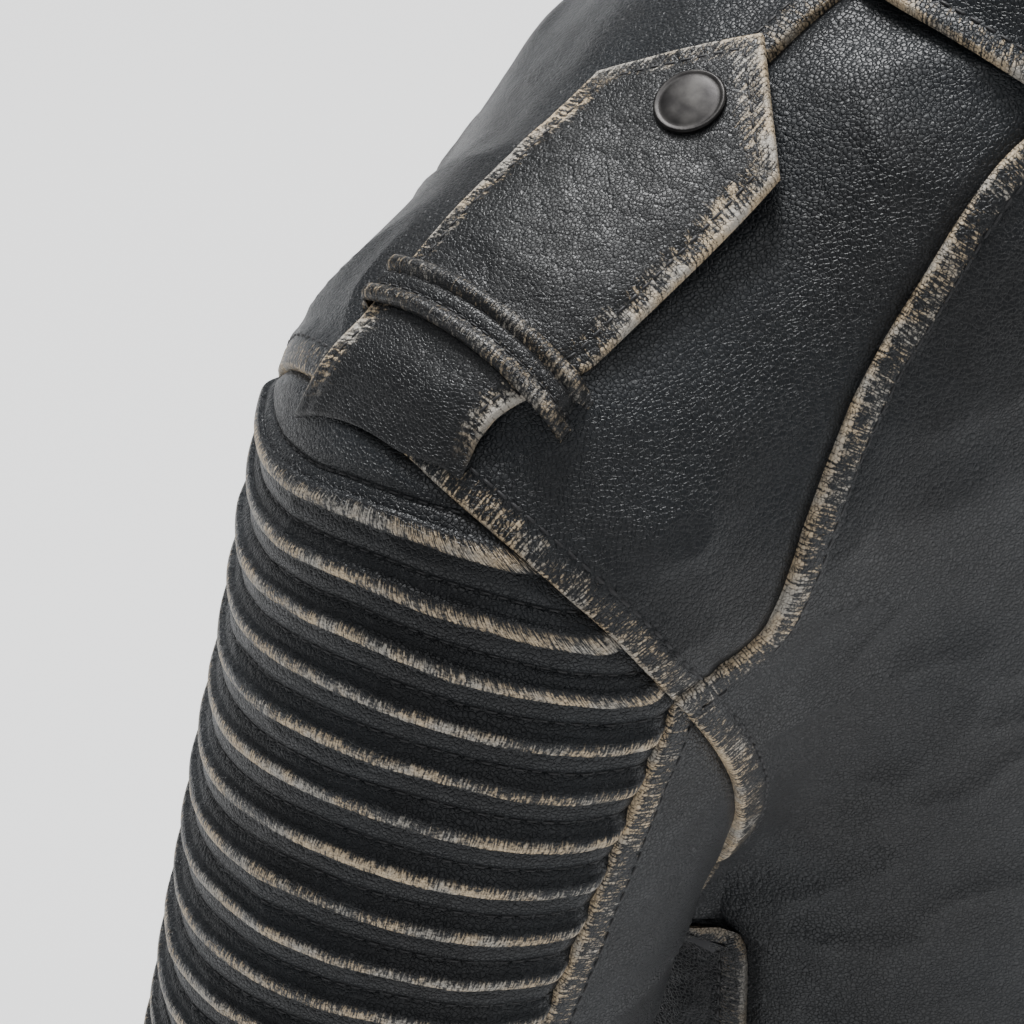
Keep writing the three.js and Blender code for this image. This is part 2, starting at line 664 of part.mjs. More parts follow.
// ---- panels ----
const POCKET_DEPTH = 3.3;
const POCKET_SIDE = POCKET_Z + POCKET_ZIP_LENGTH;
const pocketLow = bodyPoint(POCKET_X, -90, POCKET_Z);
const pocketHigh = bodyPoint(POCKET_X, -90, POCKET_SIDE);
const pocketNormal = normalAt(bodySide, mix(pocketLow, pocketHigh, 0.5));

// Cuts a zip opening, a rounded slot, out of a panel in the zip's own frame.
function slotTool(group, length, openEnd) {
  const w = ZIP_HALF_OPENING;
  const low = openEnd ? -20 : -4;
  const tool = block(-w, w, low, length + 4, -9, 9);
  group.updateMatrixWorld(true);
  return tool.applyMatrix4(group.matrixWorld);
}

const pocketFrames = SIDES.map(([, sign]) => {
  const flip = (p) => V(sign * p.x, p.y, p.z);
  return zipFrame(flip(pocketLow), flip(pocketHigh), flip(pocketNormal));
});
const CUFF_ANGLE = 120;
const CUFF_DEPTH = 3.0;
const cuffLow = sleevePoint(SLEEVE_END - 4, CUFF_ANGLE);
const cuffHigh = sleevePoint(SLEEVE_END - 4 - CUFF_ZIP_LENGTH, CUFF_ANGLE);
const cuffNormal = normalAt(armSide, mix(cuffLow, cuffHigh, 0.5));
const cuffFrames = SIDES.map(([, sign]) => {
  const flip = (p) => V(sign * p.x, p.y, p.z);
  return zipFrame(flip(cuffLow), flip(cuffHigh), flip(cuffNormal));
});

const frontShell = shell([frontPatch], { field: bodySide });
const frontPanel = cut(frontShell, slotTool(pocketFrames[0], POCKET_ZIP_LENGTH, false));
addPair('front_panel', frontPanel, leather);
addPair('front_yoke', shell([yokePatch], {}), leather);
addPair('side_panel', shell([sidePatch], { field: bodySide }), leather);
add('back_panel', shell([backPatch, mirrorGrid(backPatch)], { field: bodySide }), leather);
add('back_yoke', shell([backYokePatch, mirrorGrid(backYokePatch)], {}), leather);
addPair('sleeve_rib_panel', shell([ribPatch], { field: armSide, outer: ribRise }), ribLeather);
function ribRise(p) {
  const seam = [...armTopFront, ...armTopBack].map((q) => q.distanceTo(p));
  return RIB_PADDING * smooth(0, 25, Math.min(...seam));
}
const forearmShell = shell([forearmPatch], { field: armSide });
addPair('sleeve_forearm_panel', cut(forearmShell, slotTool(cuffFrames[0], CUFF_ZIP_LENGTH, true)), leather);
addPair('under_sleeve', shell([underPatch], { field: armSide }), leather);

// ---- linings and facings ----
// Linings use every second line of the panels' grids, and come close to the leather at the hem and armhole.
const pick = (grid, rows, columns) => rows.map((j) => columns.map((i) => grid[j][i]));
const armhole = [...armTopFront, ...armFront, ...armBottom, ...armBack, ...armTopBack];
const armholeDistance = (p) => Math.min(...armhole.map((q) => q.distanceTo(V(Math.abs(p.x), p.y, p.z))));
const seamDepth = (p) => lerp(SEAM_LINING_DEPTH, LINING_DEPTH, smooth(4, 40, armholeDistance(p)));
const liningDepth = (p) => -Math.min(lerp(HEM_LINING_DEPTH, LINING_DEPTH, smooth(25, 60, p.z)), seamDepth(p));
const bodyPatches = [
  pick(frontPatch, [0, 2, 4, 6, 7, 8, 9, 10, 11], [0, 2, 3, 5, 6, 7]),
  pick(yokePatch, [0, 2, 3, 5], [0, 2, 3, 4]),
  pick(sidePatch, [0, 2, 4, 6, 7], [0, 2, 4]),
  pick(backPatch, [0, 2, 4, 6, 7, 8, 9, 10, 11], [0, 1, 2, 4, 6, 9]),
  pick(backYokePatch, [0, 1, 3, 5], [0, 1, 2, 4, 6, 9]),
];
add('body_lining', shell([...bodyPatches, ...bodyPatches.map(mirrorGrid)], {
  field: bodySide, outer: liningDepth, inner: (p) => liningDepth(p) - LINING, inset: 1.2,
}), satin);
const sleevePatches = [
  pick(ribPatch, [0, 2, 4, 6, 8, 10, 12], [0, 2, 4, 6, 8]),
  pick(forearmPatch, [0, 2, 4, 6, 8], [0, 2, 4, 6, 8]),
  pick(underPatch, [0, 2, 4, 6, 8, 10, 12, 14, 16], [0, 2, 4, 6, 8, 10, 12]),
];
addPair('sleeve_lining', shell(sleevePatches, {
  field: armSide, outer: (p) => -seamDepth(p), inner: (p) => -seamDepth(p) - LINING, inset: 1.2,
}), satin);

const facingGrid = (x0, x1, z0, z1, n, m) => range(m).map((v) => range(n).map((u) => {
  const z = lerp(z0, z1, v);
  return bodyPoint(lerp(x0, x1, u), frontY(z), z);
}));
function bodyPlate(grid, depth, thickness) {
  const at = (d) => grid.map((row) => row.map((p) => {
    const normal = normalAt(bodySide, p);
    if (p.z === 0) normal.setZ(0).normalize();
    return p.clone().addScaledVector(normal, -d);
  }));
  return plate(at(depth), at(depth + thickness));
}
addPair('front_facing', bodyPlate(facingGrid(ZIP_HALF_OPENING + 1, FACING_WIDTH, 2, 532, 2, 9), FACING_DEPTH, FACING),
  leather);
addPair('pocket_bag', bodyPlate(facingGrid(FACING_WIDTH + 4, POCKET_X - 5, 68, 210, 3, 4), POCKET_DEPTH + TAPE + 0.5,
  1.6), tapeCloth);

// The hem allowance, turned up inside from one front facing round the back to the other.
// It follows the panels' own lowest cells.
const hemCell = (low, high) => range(2).map((v) => mix(low, high, v * HEM_FACING_HEIGHT / high.z));
const hemCells = [frontPatch, sidePatch, backPatch].flatMap((grid) => grid[0].map((p, i) => [p, grid[1][i]]));
const hemStart = [mix(hemCells[1][0], hemCells[2][0], 0.4), mix(hemCells[1][1], hemCells[2][1], 0.4)];
const hemHalf = [hemStart, ...hemCells.slice(2)].filter((cell, i, all) => !i || cell[0].distanceTo(all[i - 1][0]) > 1);
const hemTurn = [
  ...hemHalf.map(([low, high]) => hemCell(low, high)),
  ...[...hemHalf].reverse().slice(1).map(([low, high]) => mirrored(hemCell(low, high))),
];
add('hem_facing', bodyPlate(hemTurn, LEATHER + 0.6, HEM_LINING_DEPTH - LEATHER - 1.2), leather);

// ---- front zip ----
const zipLow = V(0, frontY(0), 0);
const zipHigh = V(0, frontY(560), 560);
const zipNormal = V(0, -1, FRONT_LEAN).normalize();
const frontZip = zipFrame(zipLow, zipHigh, zipNormal);
const FRONT_ZIP_LENGTH = 545;
const TAPE_HALF = 16;
for (const [side, sign] of SIDES) {
  const rise = (TEETH_HEIGHT - TAPE) / 2;
  const place = (x0, x1, y0, y1, z0, z1) => (sign > 0 ? block(x0, x1, y0, y1, z0, z1) : block(-x1, -x0, y0, y1, z0, z1));
  add(`front_zip_tape_${side}`, place(CHAIN_HALF_WIDTH + CLEAR, TAPE_HALF, 3, FRONT_ZIP_LENGTH + 6,
    -TAPE_DEPTH - TAPE, -TAPE_DEPTH), tapeCloth, frontZip);
  add(`front_zip_teeth_${side}`, place(CHAIN_SLOT / 2, CHAIN_HALF_WIDTH, 14, FRONT_ZIP_LENGTH,
    -TAPE_DEPTH - TAPE - rise, -TAPE_DEPTH + rise), metal, frontZip);
}
const RETAINER_TOP = 13.6;
add('front_zip_retainer', cut(
  block(-4.6, 4.6, 4, RETAINER_TOP, -TAPE_DEPTH - TAPE - 1.6, -TAPE_DEPTH + 1.6),
  block(CHAIN_HALF_WIDTH, 6, 0, 20, -TAPE_DEPTH - TAPE - CLEAR, -TAPE_DEPTH + CLEAR),
  block(-6, -CHAIN_HALF_WIDTH, 0, 20, -TAPE_DEPTH - TAPE - CLEAR, -TAPE_DEPTH + CLEAR),
), metal, frontZip);
addSlider('front_zip', frontZip, FRONT_ZIP_LENGTH - SLIDER_LENGTH / 2 - 2, TAPE_DEPTH);

SIDES.forEach(([side], k) => {
  const name = `pocket_zip_${side}`;
  addClosedZip(name, pocketFrames[k], POCKET_ZIP_LENGTH, POCKET_DEPTH, 11, 7);
  addSlider(name, pocketFrames[k], POCKET_ZIP_LENGTH - SLIDER_LENGTH / 2 - 3, POCKET_DEPTH);
});
SIDES.forEach(([side], k) => {
  const name = `cuff_zip_${side}`;
  addClosedZip(name, cuffFrames[k], CUFF_ZIP_LENGTH, CUFF_DEPTH, 9.5, 3);
  addSlider(name, cuffFrames[k], SLIDER_LENGTH / 2 + 3, CUFF_DEPTH);
});

// ---- shoulder straps ----
const strapCentre = (x) => STRAP_Y + STRAP_YAW * (x - SNAP_X);
// The strap lies on the leather at the sleeve end and rises over the snap towards its tip.
const strapLift = (x) => lerp(0.9, 3.7, smooth(HINGE_X + 4, SNAP_X + 12, x));

function strapGrid(start, end, n, m) {
  return range(n).map((t) => range(m).map((v) => {
    const w = 2 * v - 1;
    const x = lerp(start(w), end, t);
    const y = strapCentre(x) + w * STRAP_WIDTH / 2;
    return onTop(x, y);
  }));
}
function strapPlate(grid, lift, thickness) {
  const at = (extra) => grid.map((row) => row.map((p) => (
    p.clone().addScaledVector(normalAt(whole, p), lift(p) + extra))));
  return plate(at(thickness), at(0));
}
const STRAP_SPLIT = 0.4;
const flapPlate = strapPlate(strapGrid((w) => STRAP_TIP_X + STRAP_POINT * Math.abs(w), HINGE_X - STRAP_SPLIT, 7, 4),
  (p) => strapLift(p.x), STRAP_THICKNESS);
const basePlate = strapPlate(strapGrid(() => HINGE_X + STRAP_SPLIT, STRAP_END_X, 4, 4), (p) => strapLift(p.x),
  STRAP_THICKNESS);

// Everything on the snap's own axis: x, y across and z out of the shoulder.
const snapSeat = onTop(SNAP_X, STRAP_Y);
const snapNormal = normalAt(whole, snapSeat);
const snapTurn = new THREE.Quaternion().setFromUnitVectors(V(0, 0, 1), snapNormal);
const onSnap = (geometry) => geometry.rotateX(Math.PI / 2).applyQuaternion(snapTurn)
  .translate(snapSeat.x, snapSeat.y, snapSeat.z);
const turned = (profile, segments = 20) => onSnap(new THREE.LatheGeometry(
  profile.map(([r, z]) => new THREE.Vector2(r, z)), segments));
const lift = strapLift(SNAP_X);
const capBase = lift + STRAP_THICKNESS + 0.5;
const SHANK = 1.6;
const shankHole = turned([[0, 0], [SHANK + 0.4, 0], [SHANK + 0.4, 14], [0, 14]], 16);
const capProfile = [
  [0, lift + 0.1], [SHANK, lift + 0.1], [SHANK, capBase], [SNAP_RADIUS, capBase], [SNAP_RADIUS, capBase + 0.9],
  [SNAP_RADIUS - 0.9, capBase + 1.6], [SNAP_RADIUS * 0.5, capBase + 2.0], [0, capBase + 2.1],
];
const socketTop = lift - CLEAR;
const socketProfile = [[2.5, 1.9], [5.4, 1.9], [5.4, socketTop], [2.5, socketTop], [2.5, 1.9]];
const studProfile = [[0, 0.8], [5.0, 0.8], [5.0, 1.6], [1.9, 1.5], [1.9, 2.6], [1.4, 3.0], [0, 3.0]];
addPair('strap_flap', cut(flapPlate, shankHole), strapLeather);
addPair('strap_base', basePlate, strapLeather);
addPair('snap_cap', solidOf(turned(capProfile)), metal);
addPair('snap_socket', solidOf(turned(socketProfile, 16)), metal);
addPair('snap_stud', solidOf(turned(studProfile, 16)), metal);
function solidOf(geometry) {
  return facingOut(fromSolid(toSolid(geometry)));
}

// The keeper: a band over the strap whose ends come down to the yoke.
const keeperX0 = HINGE_X + 1.2;
const keeperGrid = range(2).map((t) => range(14).map((v) => {
  const w = 2 * v - 1;
  const x = keeperX0 + KEEPER_WIDTH * t;
  return onTop(x, strapCentre(x) + w * 30);
}));
function keeperLift(p) {
  const across = Math.abs(p.y - strapCentre(p.x));
  return lerp(strapLift(p.x) + STRAP_THICKNESS + 0.8, 0.5, smooth(24, 28, across));
}
addPair('strap_keeper', strapPlate(keeperGrid, keeperLift, KEEPER_THICKNESS), strapLeather);

// ---- collar ----
const neckLoop = (() => {
  const half = range(12).map((t) => neckPoint(lerp(NECK_START + 2, 180, t)));
  return [...half, ...reversed(mirrored(half)).slice(1)];
})();
const NECK_CENTRE = V(0, -15, 0);
const neckOut = neckLoop.map((p) => V(p.x - NECK_CENTRE.x, (p.y - NECK_CENTRE.y) * 0.9, 0).normalize());
const neckUp = neckOut.map((o) => V(0, 0, 1).addScaledVector(o, -STAND_LEAN).normalize());
const standPoint = (k, out, up) => neckLoop[k].clone().addScaledVector(neckOut[k], out)
  .addScaledVector(neckUp[k], up);
const standWall = (out) => neckLoop.map((_, k) => range(2).map((v) => standPoint(k, out, lerp(1.2, STAND_HEIGHT, v))));
add('collar_stand', plate(standWall(1.0), standWall(1.0 - COLLAR_THICKNESS)), leather);

const LEAF_DROP = 40;
function leafRow(k) {
  const p = neckLoop[k];
  const frontness = smooth(0.2, 1, -neckOut[k].y);
  const backness = smooth(0.3, 1, neckOut[k].y);
  const reach = 34 - 22 * frontness - 10 * backness;
  const drop = 8 + LEAF_DROP * frontness + 34 * backness;
  const start = standPoint(k, 0, STAND_HEIGHT + 1.9);
  const fold = standPoint(k, 4, STAND_HEIGHT + 5.5);
  const over = standPoint(k, 9, STAND_HEIGHT - 1);
  const end = toSurface(whole, p.clone().addScaledVector(neckOut[k], reach).add(V(0, 0, -drop)));
  const path = new THREE.CatmullRomCurve3([start, fold, over, mix(over, end, 0.5), end]);
  return range(8).map((t) => {
    const q = path.getPoint(t);
    const clearance = LEAF_CLEARANCE + COLLAR_THICKNESS / 2;
    if (t > 0.35 && whole(q) < clearance) q.addScaledVector(normalAt(whole, q), clearance - whole(q));
    return q;
  });
}
const leafMiddle = neckLoop.map((_, k) => leafRow(k));
function gridNormals(grid) {
  const at = (j, i) => grid[clamp(j, 0, grid.length - 1)][clamp(i, 0, grid[0].length - 1)];
  return grid.map((row, j) => row.map((_, i) => (
    at(j + 1, i).clone().sub(at(j - 1, i)).cross(at(j, i + 1).clone().sub(at(j, i - 1))).normalize())));
}
const leafNormals = gridNormals(leafMiddle);
const leafSide = (d) => leafMiddle.map((row, j) => row.map((p, i) => p.clone().addScaledVector(leafNormals[j][i], d)));
add('collar_leaf', plate(leafSide(COLLAR_THICKNESS / 2), leafSide(-COLLAR_THICKNESS / 2)), leather);

// ---- hanger loop: a short strap that arches up in front of the back of the collar stand ----
const backNeck = neckPoint(180);
const loopCurve = range(12).map((t) => {
  const x = lerp(-LOOP_HALF_SPAN, LOOP_HALF_SPAN, t);
  const rise = LOOP_RISE * Math.cos(Math.PI * x / (2 * LOOP_HALF_SPAN));
  const seam = neckPoint(180 - THREE.MathUtils.radToDeg(Math.asin(Math.abs(x) / NECK_HALF_WIDTH)));
  const back = seam.y - (COLLAR_THICKNESS - 1) - STAND_LEAN * (rise + LOOP_THICKNESS + 1) - 4 * CLEAR;
  return V(x, back, backNeck.z + 1 + rise);
});
const loopFace = (dz) => loopCurve.map((p) => [0, 1].map((v) => V(p.x, p.y - v * LOOP_WIDTH, p.z + dz)));
add('hanger_loop', plate(loopFace(LOOP_THICKNESS), loopFace(0)), tapeCloth);

const crown = loopCurve[6];
const ORIGIN = V(0, crown.y - LOOP_WIDTH / 2, crown.z);
hemFrame.position.copy(ORIGIN).negate();

export default jacket;
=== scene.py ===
"""Looks of a worn leather riding jacket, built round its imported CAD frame.

All shapes are worked out in a hem frame in millimetres (z = 0 at the hem, the wearer's left on +X, the front on -Y)
and moved to the row frame in metres when their meshes are made.
"""

import itertools
import logging
import math
from dataclasses import dataclass, field
from enum import Enum
from typing import Callable, Sequence

import bmesh
import bpy
import numpy as np
from mathutils import Matrix, Vector


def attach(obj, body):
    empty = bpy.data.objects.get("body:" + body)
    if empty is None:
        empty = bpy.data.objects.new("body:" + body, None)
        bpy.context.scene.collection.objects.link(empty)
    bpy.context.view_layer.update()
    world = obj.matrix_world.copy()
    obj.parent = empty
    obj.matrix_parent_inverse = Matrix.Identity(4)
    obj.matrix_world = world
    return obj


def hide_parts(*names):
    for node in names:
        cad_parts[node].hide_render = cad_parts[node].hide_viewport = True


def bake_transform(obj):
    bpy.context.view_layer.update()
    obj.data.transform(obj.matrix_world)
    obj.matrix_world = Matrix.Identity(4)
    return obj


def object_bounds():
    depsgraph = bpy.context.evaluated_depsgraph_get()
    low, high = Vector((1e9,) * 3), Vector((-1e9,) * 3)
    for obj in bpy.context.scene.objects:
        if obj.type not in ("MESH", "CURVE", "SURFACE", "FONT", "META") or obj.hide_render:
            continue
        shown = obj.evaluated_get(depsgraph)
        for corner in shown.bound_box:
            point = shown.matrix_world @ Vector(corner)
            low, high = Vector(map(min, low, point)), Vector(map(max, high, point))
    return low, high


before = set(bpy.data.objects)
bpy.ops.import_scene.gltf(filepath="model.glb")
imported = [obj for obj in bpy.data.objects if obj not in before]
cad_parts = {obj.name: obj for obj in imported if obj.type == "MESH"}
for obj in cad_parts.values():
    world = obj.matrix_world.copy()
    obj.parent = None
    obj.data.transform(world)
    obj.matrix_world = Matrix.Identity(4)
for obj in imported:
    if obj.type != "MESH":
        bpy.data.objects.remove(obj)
CAD_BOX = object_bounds()

LOG = logging.getLogger("jacket")
Array = np.ndarray
HEM_SHIFT = np.array([0.0, -41.743354, -631.569317])
METRE = 0.001
SIDES = (("left", 1.0), ("right", -1.0))


# ---- numbers on whole arrays ----
def smooth(low: float, high: float, x: Array) -> Array:
    """Ease from 0 at low to 1 at high, as t * t * (3 - 2 * t).

    Args:
        low: Where the ease starts.
        high: Where it ends.
        x: Values to ease.

    Returns:
        The eased values, the same shape as x.
    """
    t = np.clip((x - low) / (high - low), 0.0, 1.0)
    return t * t * (3.0 - 2.0 * t)


def smooth_min(a: Array, b: Array, k: float | Array) -> Array:
    """Lesser of two fields, less h * h * k / 4 where they come within k of each other.

    Args:
        a: First field.
        b: Second field.
        k: Width of the rounding.

    Returns:
        The joined field.
    """
    h = np.maximum(k - np.abs(a - b), 0.0) / k
    return np.minimum(a, b) - h * h * k / 4.0


def unit(v: Array) -> Array:
    """Vectors scaled to length one."""
    return v / np.maximum(np.linalg.norm(v, axis=-1, keepdims=True), 1e-12)


def dot(a: Array, b: Array) -> Array:
    """Row by row dot product."""
    return (a * b).sum(-1)


def flipped(points: Array, sign: float) -> Array:
    """Points mirrored to the side that sign names."""
    return points * np.array([sign, 1.0, 1.0])


def bell(x: Array, centre: float, width: float) -> Array:
    """Gaussian bump of height one."""
    return np.exp(-(((x - centre) / width) ** 2))


def cell_value(i: Array, j: Array, k: Array, seed: int) -> Array:
    """Fixed pseudo-random value of a lattice point, by mixing its whole-number coordinates.

    Args:
        i: First coordinate.
        j: Second coordinate.
        k: Third coordinate.
        seed: Chooses the pattern.

    Returns:
        Values from -1 to 1.
    """
    h = (i * 73856093) ^ (j * 19349663) ^ (k * 83492791) ^ (seed * 2654435761)
    h = (h ^ (h >> 13)) & 0xFFFFFFFF
    h = (h * 1274126177) & 0xFFFFFFFF
    h = h ^ (h >> 16)
    return (h & 0xFFFF) / 32767.5 - 1.0


def ripple(points: Array, scale: float | Sequence[float], seed: int, octaves: int = 1) -> Array:
    """Value noise: lattice values blended over each cell with an easing of the fractions, halved per octave.

    Args:
        points: Places, shape (..., 3).
        scale: Size of a cell, one number or one per axis.
        seed: Chooses the pattern.
        octaves: How many layers, each half as large and half as strong.

    Returns:
        Values from about -1 to 1, shape (...).
    """
    total = np.zeros(points.shape[:-1])
    weight = 1.0
    q = points / np.asarray(scale, float)
    for layer in range(octaves):
        base = np.floor(q)
        f = q - base
        f = f * f * (3.0 - 2.0 * f)
        i, j, k = (base[..., axis].astype(np.int64) for axis in range(3))
        blend = np.zeros_like(total)
        for corner in range(8):
            step = [(corner >> axis) & 1 for axis in range(3)]
            share = np.ones_like(total)
            for axis in range(3):
                share = share * (f[..., axis] if step[axis] else 1.0 - f[..., axis])
            blend = blend + share * cell_value(i + step[0], j + step[1], k + step[2], seed + 31 * layer)
        total = total + weight * blend
        weight *= 0.5
        q = q * 2.03 + 7.7
    return total


# ---- the form of a worn jacket ----
class Region(Enum):
    """Which parts of the form a surface belongs to below the armpit."""

    WHOLE = (True, True)
    BODY = (True, False)
    ARM = (False, True)


@dataclass(frozen=True)
class Form:
    """Smooth union of a torso and two arms, negative inside, in hem frame millimetres."""

    length: float = 641.0
    slope: float = 14.0
    shoulder_rounding: float = 88.0
    chest: float = 156.0
    upper: float = 186.0
    hem_spread: float = 14.0
    front: float = -128.0
    lean: float = 0.06
    back: float = 116.0
    power: float = 2.3
    armpit: float = 372.0
    shoulder_at: tuple[float, float, float] = (175.0, 4.0, 520.0)
    elbow_at: tuple[float, float, float] = (240.0, 20.0, 285.0)
    wrist_at: tuple[float, float, float] = (282.0, -62.0, -38.0)
    radii: tuple[float, float, float] = (60.0, 48.0, 41.0)

    def front_y(self, z: Array) -> Array:
        """The leaning line of the front."""
        return self.front + self.lean * z

    def torso(self, p: Array) -> Array:
        """Superellipse wall under a sloping roof, rounded together.

        Args:
            p: Points, shape (..., 3).

        Returns:
            Signed field values.
        """
        x, y, z = np.abs(p[..., 0]), p[..., 1], p[..., 2]
        back = self.back + 10.0 * np.exp(-(((z - 430.0) / 120.0) ** 2)) - 58.0 * smooth(470.0, 680.0, z)
        half = self.chest + (self.upper - self.chest) * smooth(400.0, 540.0, z)
        half = half + self.hem_spread * np.clip(1.0 - z / self.armpit, 0.0, 1.0)
        front = self.front_y(z)
        middle, depth = (front + back) / 2.0, (back - front) / 2.0
        n = self.power
        q = ((x / half) ** n + (np.abs(y - middle) / depth) ** n) ** (1.0 / n) + 1e-9
        wall = np.hypot(x, y - middle) * (1.0 - 1.0 / q)
        slope = math.radians(self.slope)
        roof = (z - (self.length - math.tan(slope) * x)) * math.cos(slope)
        return -smooth_min(-wall, -roof, self.shoulder_rounding)

    def arm(self, p: Array) -> Array:
        """Two round cones, upper and lower arm, rounded together.

        Args:
            p: Points, shape (..., 3).

        Returns:
            Signed field values.
        """
        q = np.stack([np.abs(p[..., 0]), p[..., 1], p[..., 2]], -1)
        joints = [np.array(j) for j in (self.shoulder_at, self.elbow_at, self.wrist_at)]
        cones = []
        for (a, b), (ra, rb) in zip(zip(joints, joints[1:]), zip(self.radii, self.radii[1:])):
            ab = b - a
            t = np.clip(((q - a) @ ab) / (ab @ ab), 0.0, 1.0)
            cones.append(np.linalg.norm(q - a - t[..., None] * ab, axis=-1) - (ra + (rb - ra) * t))
        return smooth_min(cones[0], cones[1], 20.0)

    def value(self, p: Array, region: Region = Region.WHOLE) -> Array:
        """Field of a region: above the armpit torso and arm flow together, below it the other one steps away.

        Args:
            p: Points, shape (..., 3).
            region: Which surface.

        Returns:
            Signed field values.
        """
        torso_part, arm_part = region.value
        z = p[..., 2]
        apart = 80.0 * (1.0 - smooth(self.armpit - 4.0, self.armpit + 30.0, z))
        torso = self.torso(p) + (0.0 if torso_part else apart)
        arm = self.arm(p) + (0.0 if arm_part else apart)
        return smooth_min(torso, arm, 6.0 + 28.0 * smooth(self.armpit, self.armpit + 110.0, z))

    def gradient(self, p: Array, region: Region) -> Array:
        """Central differences of the field over half a millimetre each way."""
        steps = 0.5 * np.eye(3)
        return np.stack([self.value(p + s, region) - self.value(p - s, region) for s in steps], -1)

    def normal(self, p: Array, region: Region) -> Array:
        """Outward unit normals."""
        return unit(self.gradient(p, region))

    def settle(self, p: Array, region: Region, level: bool = False) -> Array:
        """Moves points to the surface along the gradient, by the field over the gradient's squared length.

        Args:
            p: Points, shape (..., 3).
            region: Which surface.
            level: Keep each point's height.

        Returns:
            Points on the surface.
        """
        q = np.array(p, float)
        for _ in range(14):
            g = self.gradient(q, region)
            if level:
                g[..., 2] = 0.0
            q = q - g * (self.value(q, region) / np.maximum(dot(g, g), 1e-3))[..., None]
        return q

    def cast(self, start: Array, direction: Array, region: Region) -> Array:
        """First crossing of the surface on rays that start inside: long steps, then halving.

        Args:
            start: Ray starts, shape (..., 3).
            direction: Unit directions.
            region: Which surface.

        Returns:
            Points on the surface.
        """
        near = np.zeros(np.broadcast_shapes(start.shape, direction.shape)[:-1])
        inside = np.ones_like(near, bool)
        step = 8.0
        for _ in range(40):
            ahead = self.value(start + direction * (near + step)[..., None], region) < 0.0
            inside = inside & ahead
            if not inside.any():
                break
            near = np.where(inside, near + step, near)
        far = near + step
        for _ in range(18):
            middle = (near + far) / 2.0
            hit = self.value(start + direction * middle[..., None], region) < 0.0
            near, far = np.where(hit, middle, near), np.where(hit, far, middle)
        return start + direction * near[..., None]

    def on_top(self, x: Array, y: Array) -> Array:
        """Surface points straight above places on the shoulder."""
        start = np.stack([x, y, np.full_like(x, 480.0)], -1)
        return self.cast(start, np.array([0.0, 0.0, 1.0]), Region.WHOLE)


FORM = Form()


# ---- seam lines ----
PER_CELL = 12


def span(cells: int) -> Array:
    """Even parameters over a number of cells."""
    return np.linspace(0.0, 1.0, cells * PER_CELL + 1)


@dataclass(frozen=True)
class Edge:
    """A seam line as dense rows, evenly spaced in the pattern's own parameter. Its last three columns are a place."""

    rows: Array

    def at(self, t: Array) -> Array:
        """Rows at parameters from 0 to 1, by linear interpolation.

        Args:
            t: Parameters.

        Returns:
            Interpolated rows.
        """
        place = np.clip(t, 0.0, 1.0) * (len(self.rows) - 1)
        low = np.minimum(place.astype(int), len(self.rows) - 2)
        f = (place - low)[:, None]
        return self.rows[low] * (1.0 - f) + self.rows[low + 1] * f

    def back(self) -> "Edge":
        """The same line from its other end."""
        return Edge(self.rows[::-1].copy())

    @property
    def points(self) -> Array:
        """Places only."""
        return self.rows[:, -3:]

    @property
    def span_mm(self) -> float:
        """Length of the line."""
        return float(np.linalg.norm(np.diff(self.points, axis=0), axis=-1).sum())

    @staticmethod
    def chain(*edges: "Edge") -> "Edge":
        """Edges end to end."""
        return Edge(np.concatenate([edges[0].rows] + [e.rows[1:] for e in edges[1:]]))

    def resampled(self, spacing: float) -> Array:
        """Places at an even distance along the line.

        Args:
            spacing: Distance between places.

        Returns:
            Places, shape (n, 3).
        """
        p = self.points
        s = np.concatenate([[0.0], np.cumsum(np.linalg.norm(np.diff(p, axis=0), axis=-1))])
        count = max(2, int(round(s[-1] / spacing)) + 1)
        t = np.linspace(0.0, s[-1], count)
        return np.stack([np.interp(t, s, p[:, axis]) for axis in range(3)], -1)


def catmull(points: Array, t: Array) -> Array:
    """Catmull-Rom curve through points: a cubic between neighbours whose tangents are half the chord of the next two.

    Args:
        points: Control points, shape (n, ..., 3).
        t: Parameters from 0 to 1.

    Returns:
        Points on the curve, shape (len(t), ..., 3).
    """
    n = len(points) - 1
    place = np.clip(t, 0.0, 1.0) * n
    k = np.minimum(place.astype(int), n - 1)
    f = (place - k).reshape((-1,) + (1,) * (points.ndim - 1))
    ends = np.concatenate([[2 * points[0] - points[1]], points, [2 * points[-1] - points[-2]]])
    a, b, c, d = ends[k], ends[k + 1], ends[k + 2], ends[k + 3]
    return 0.5 * (2 * b + (c - a) * f + (2 * a - 5 * b + 4 * c - d) * f**2 + (3 * b - a - 3 * c + d) * f**3)


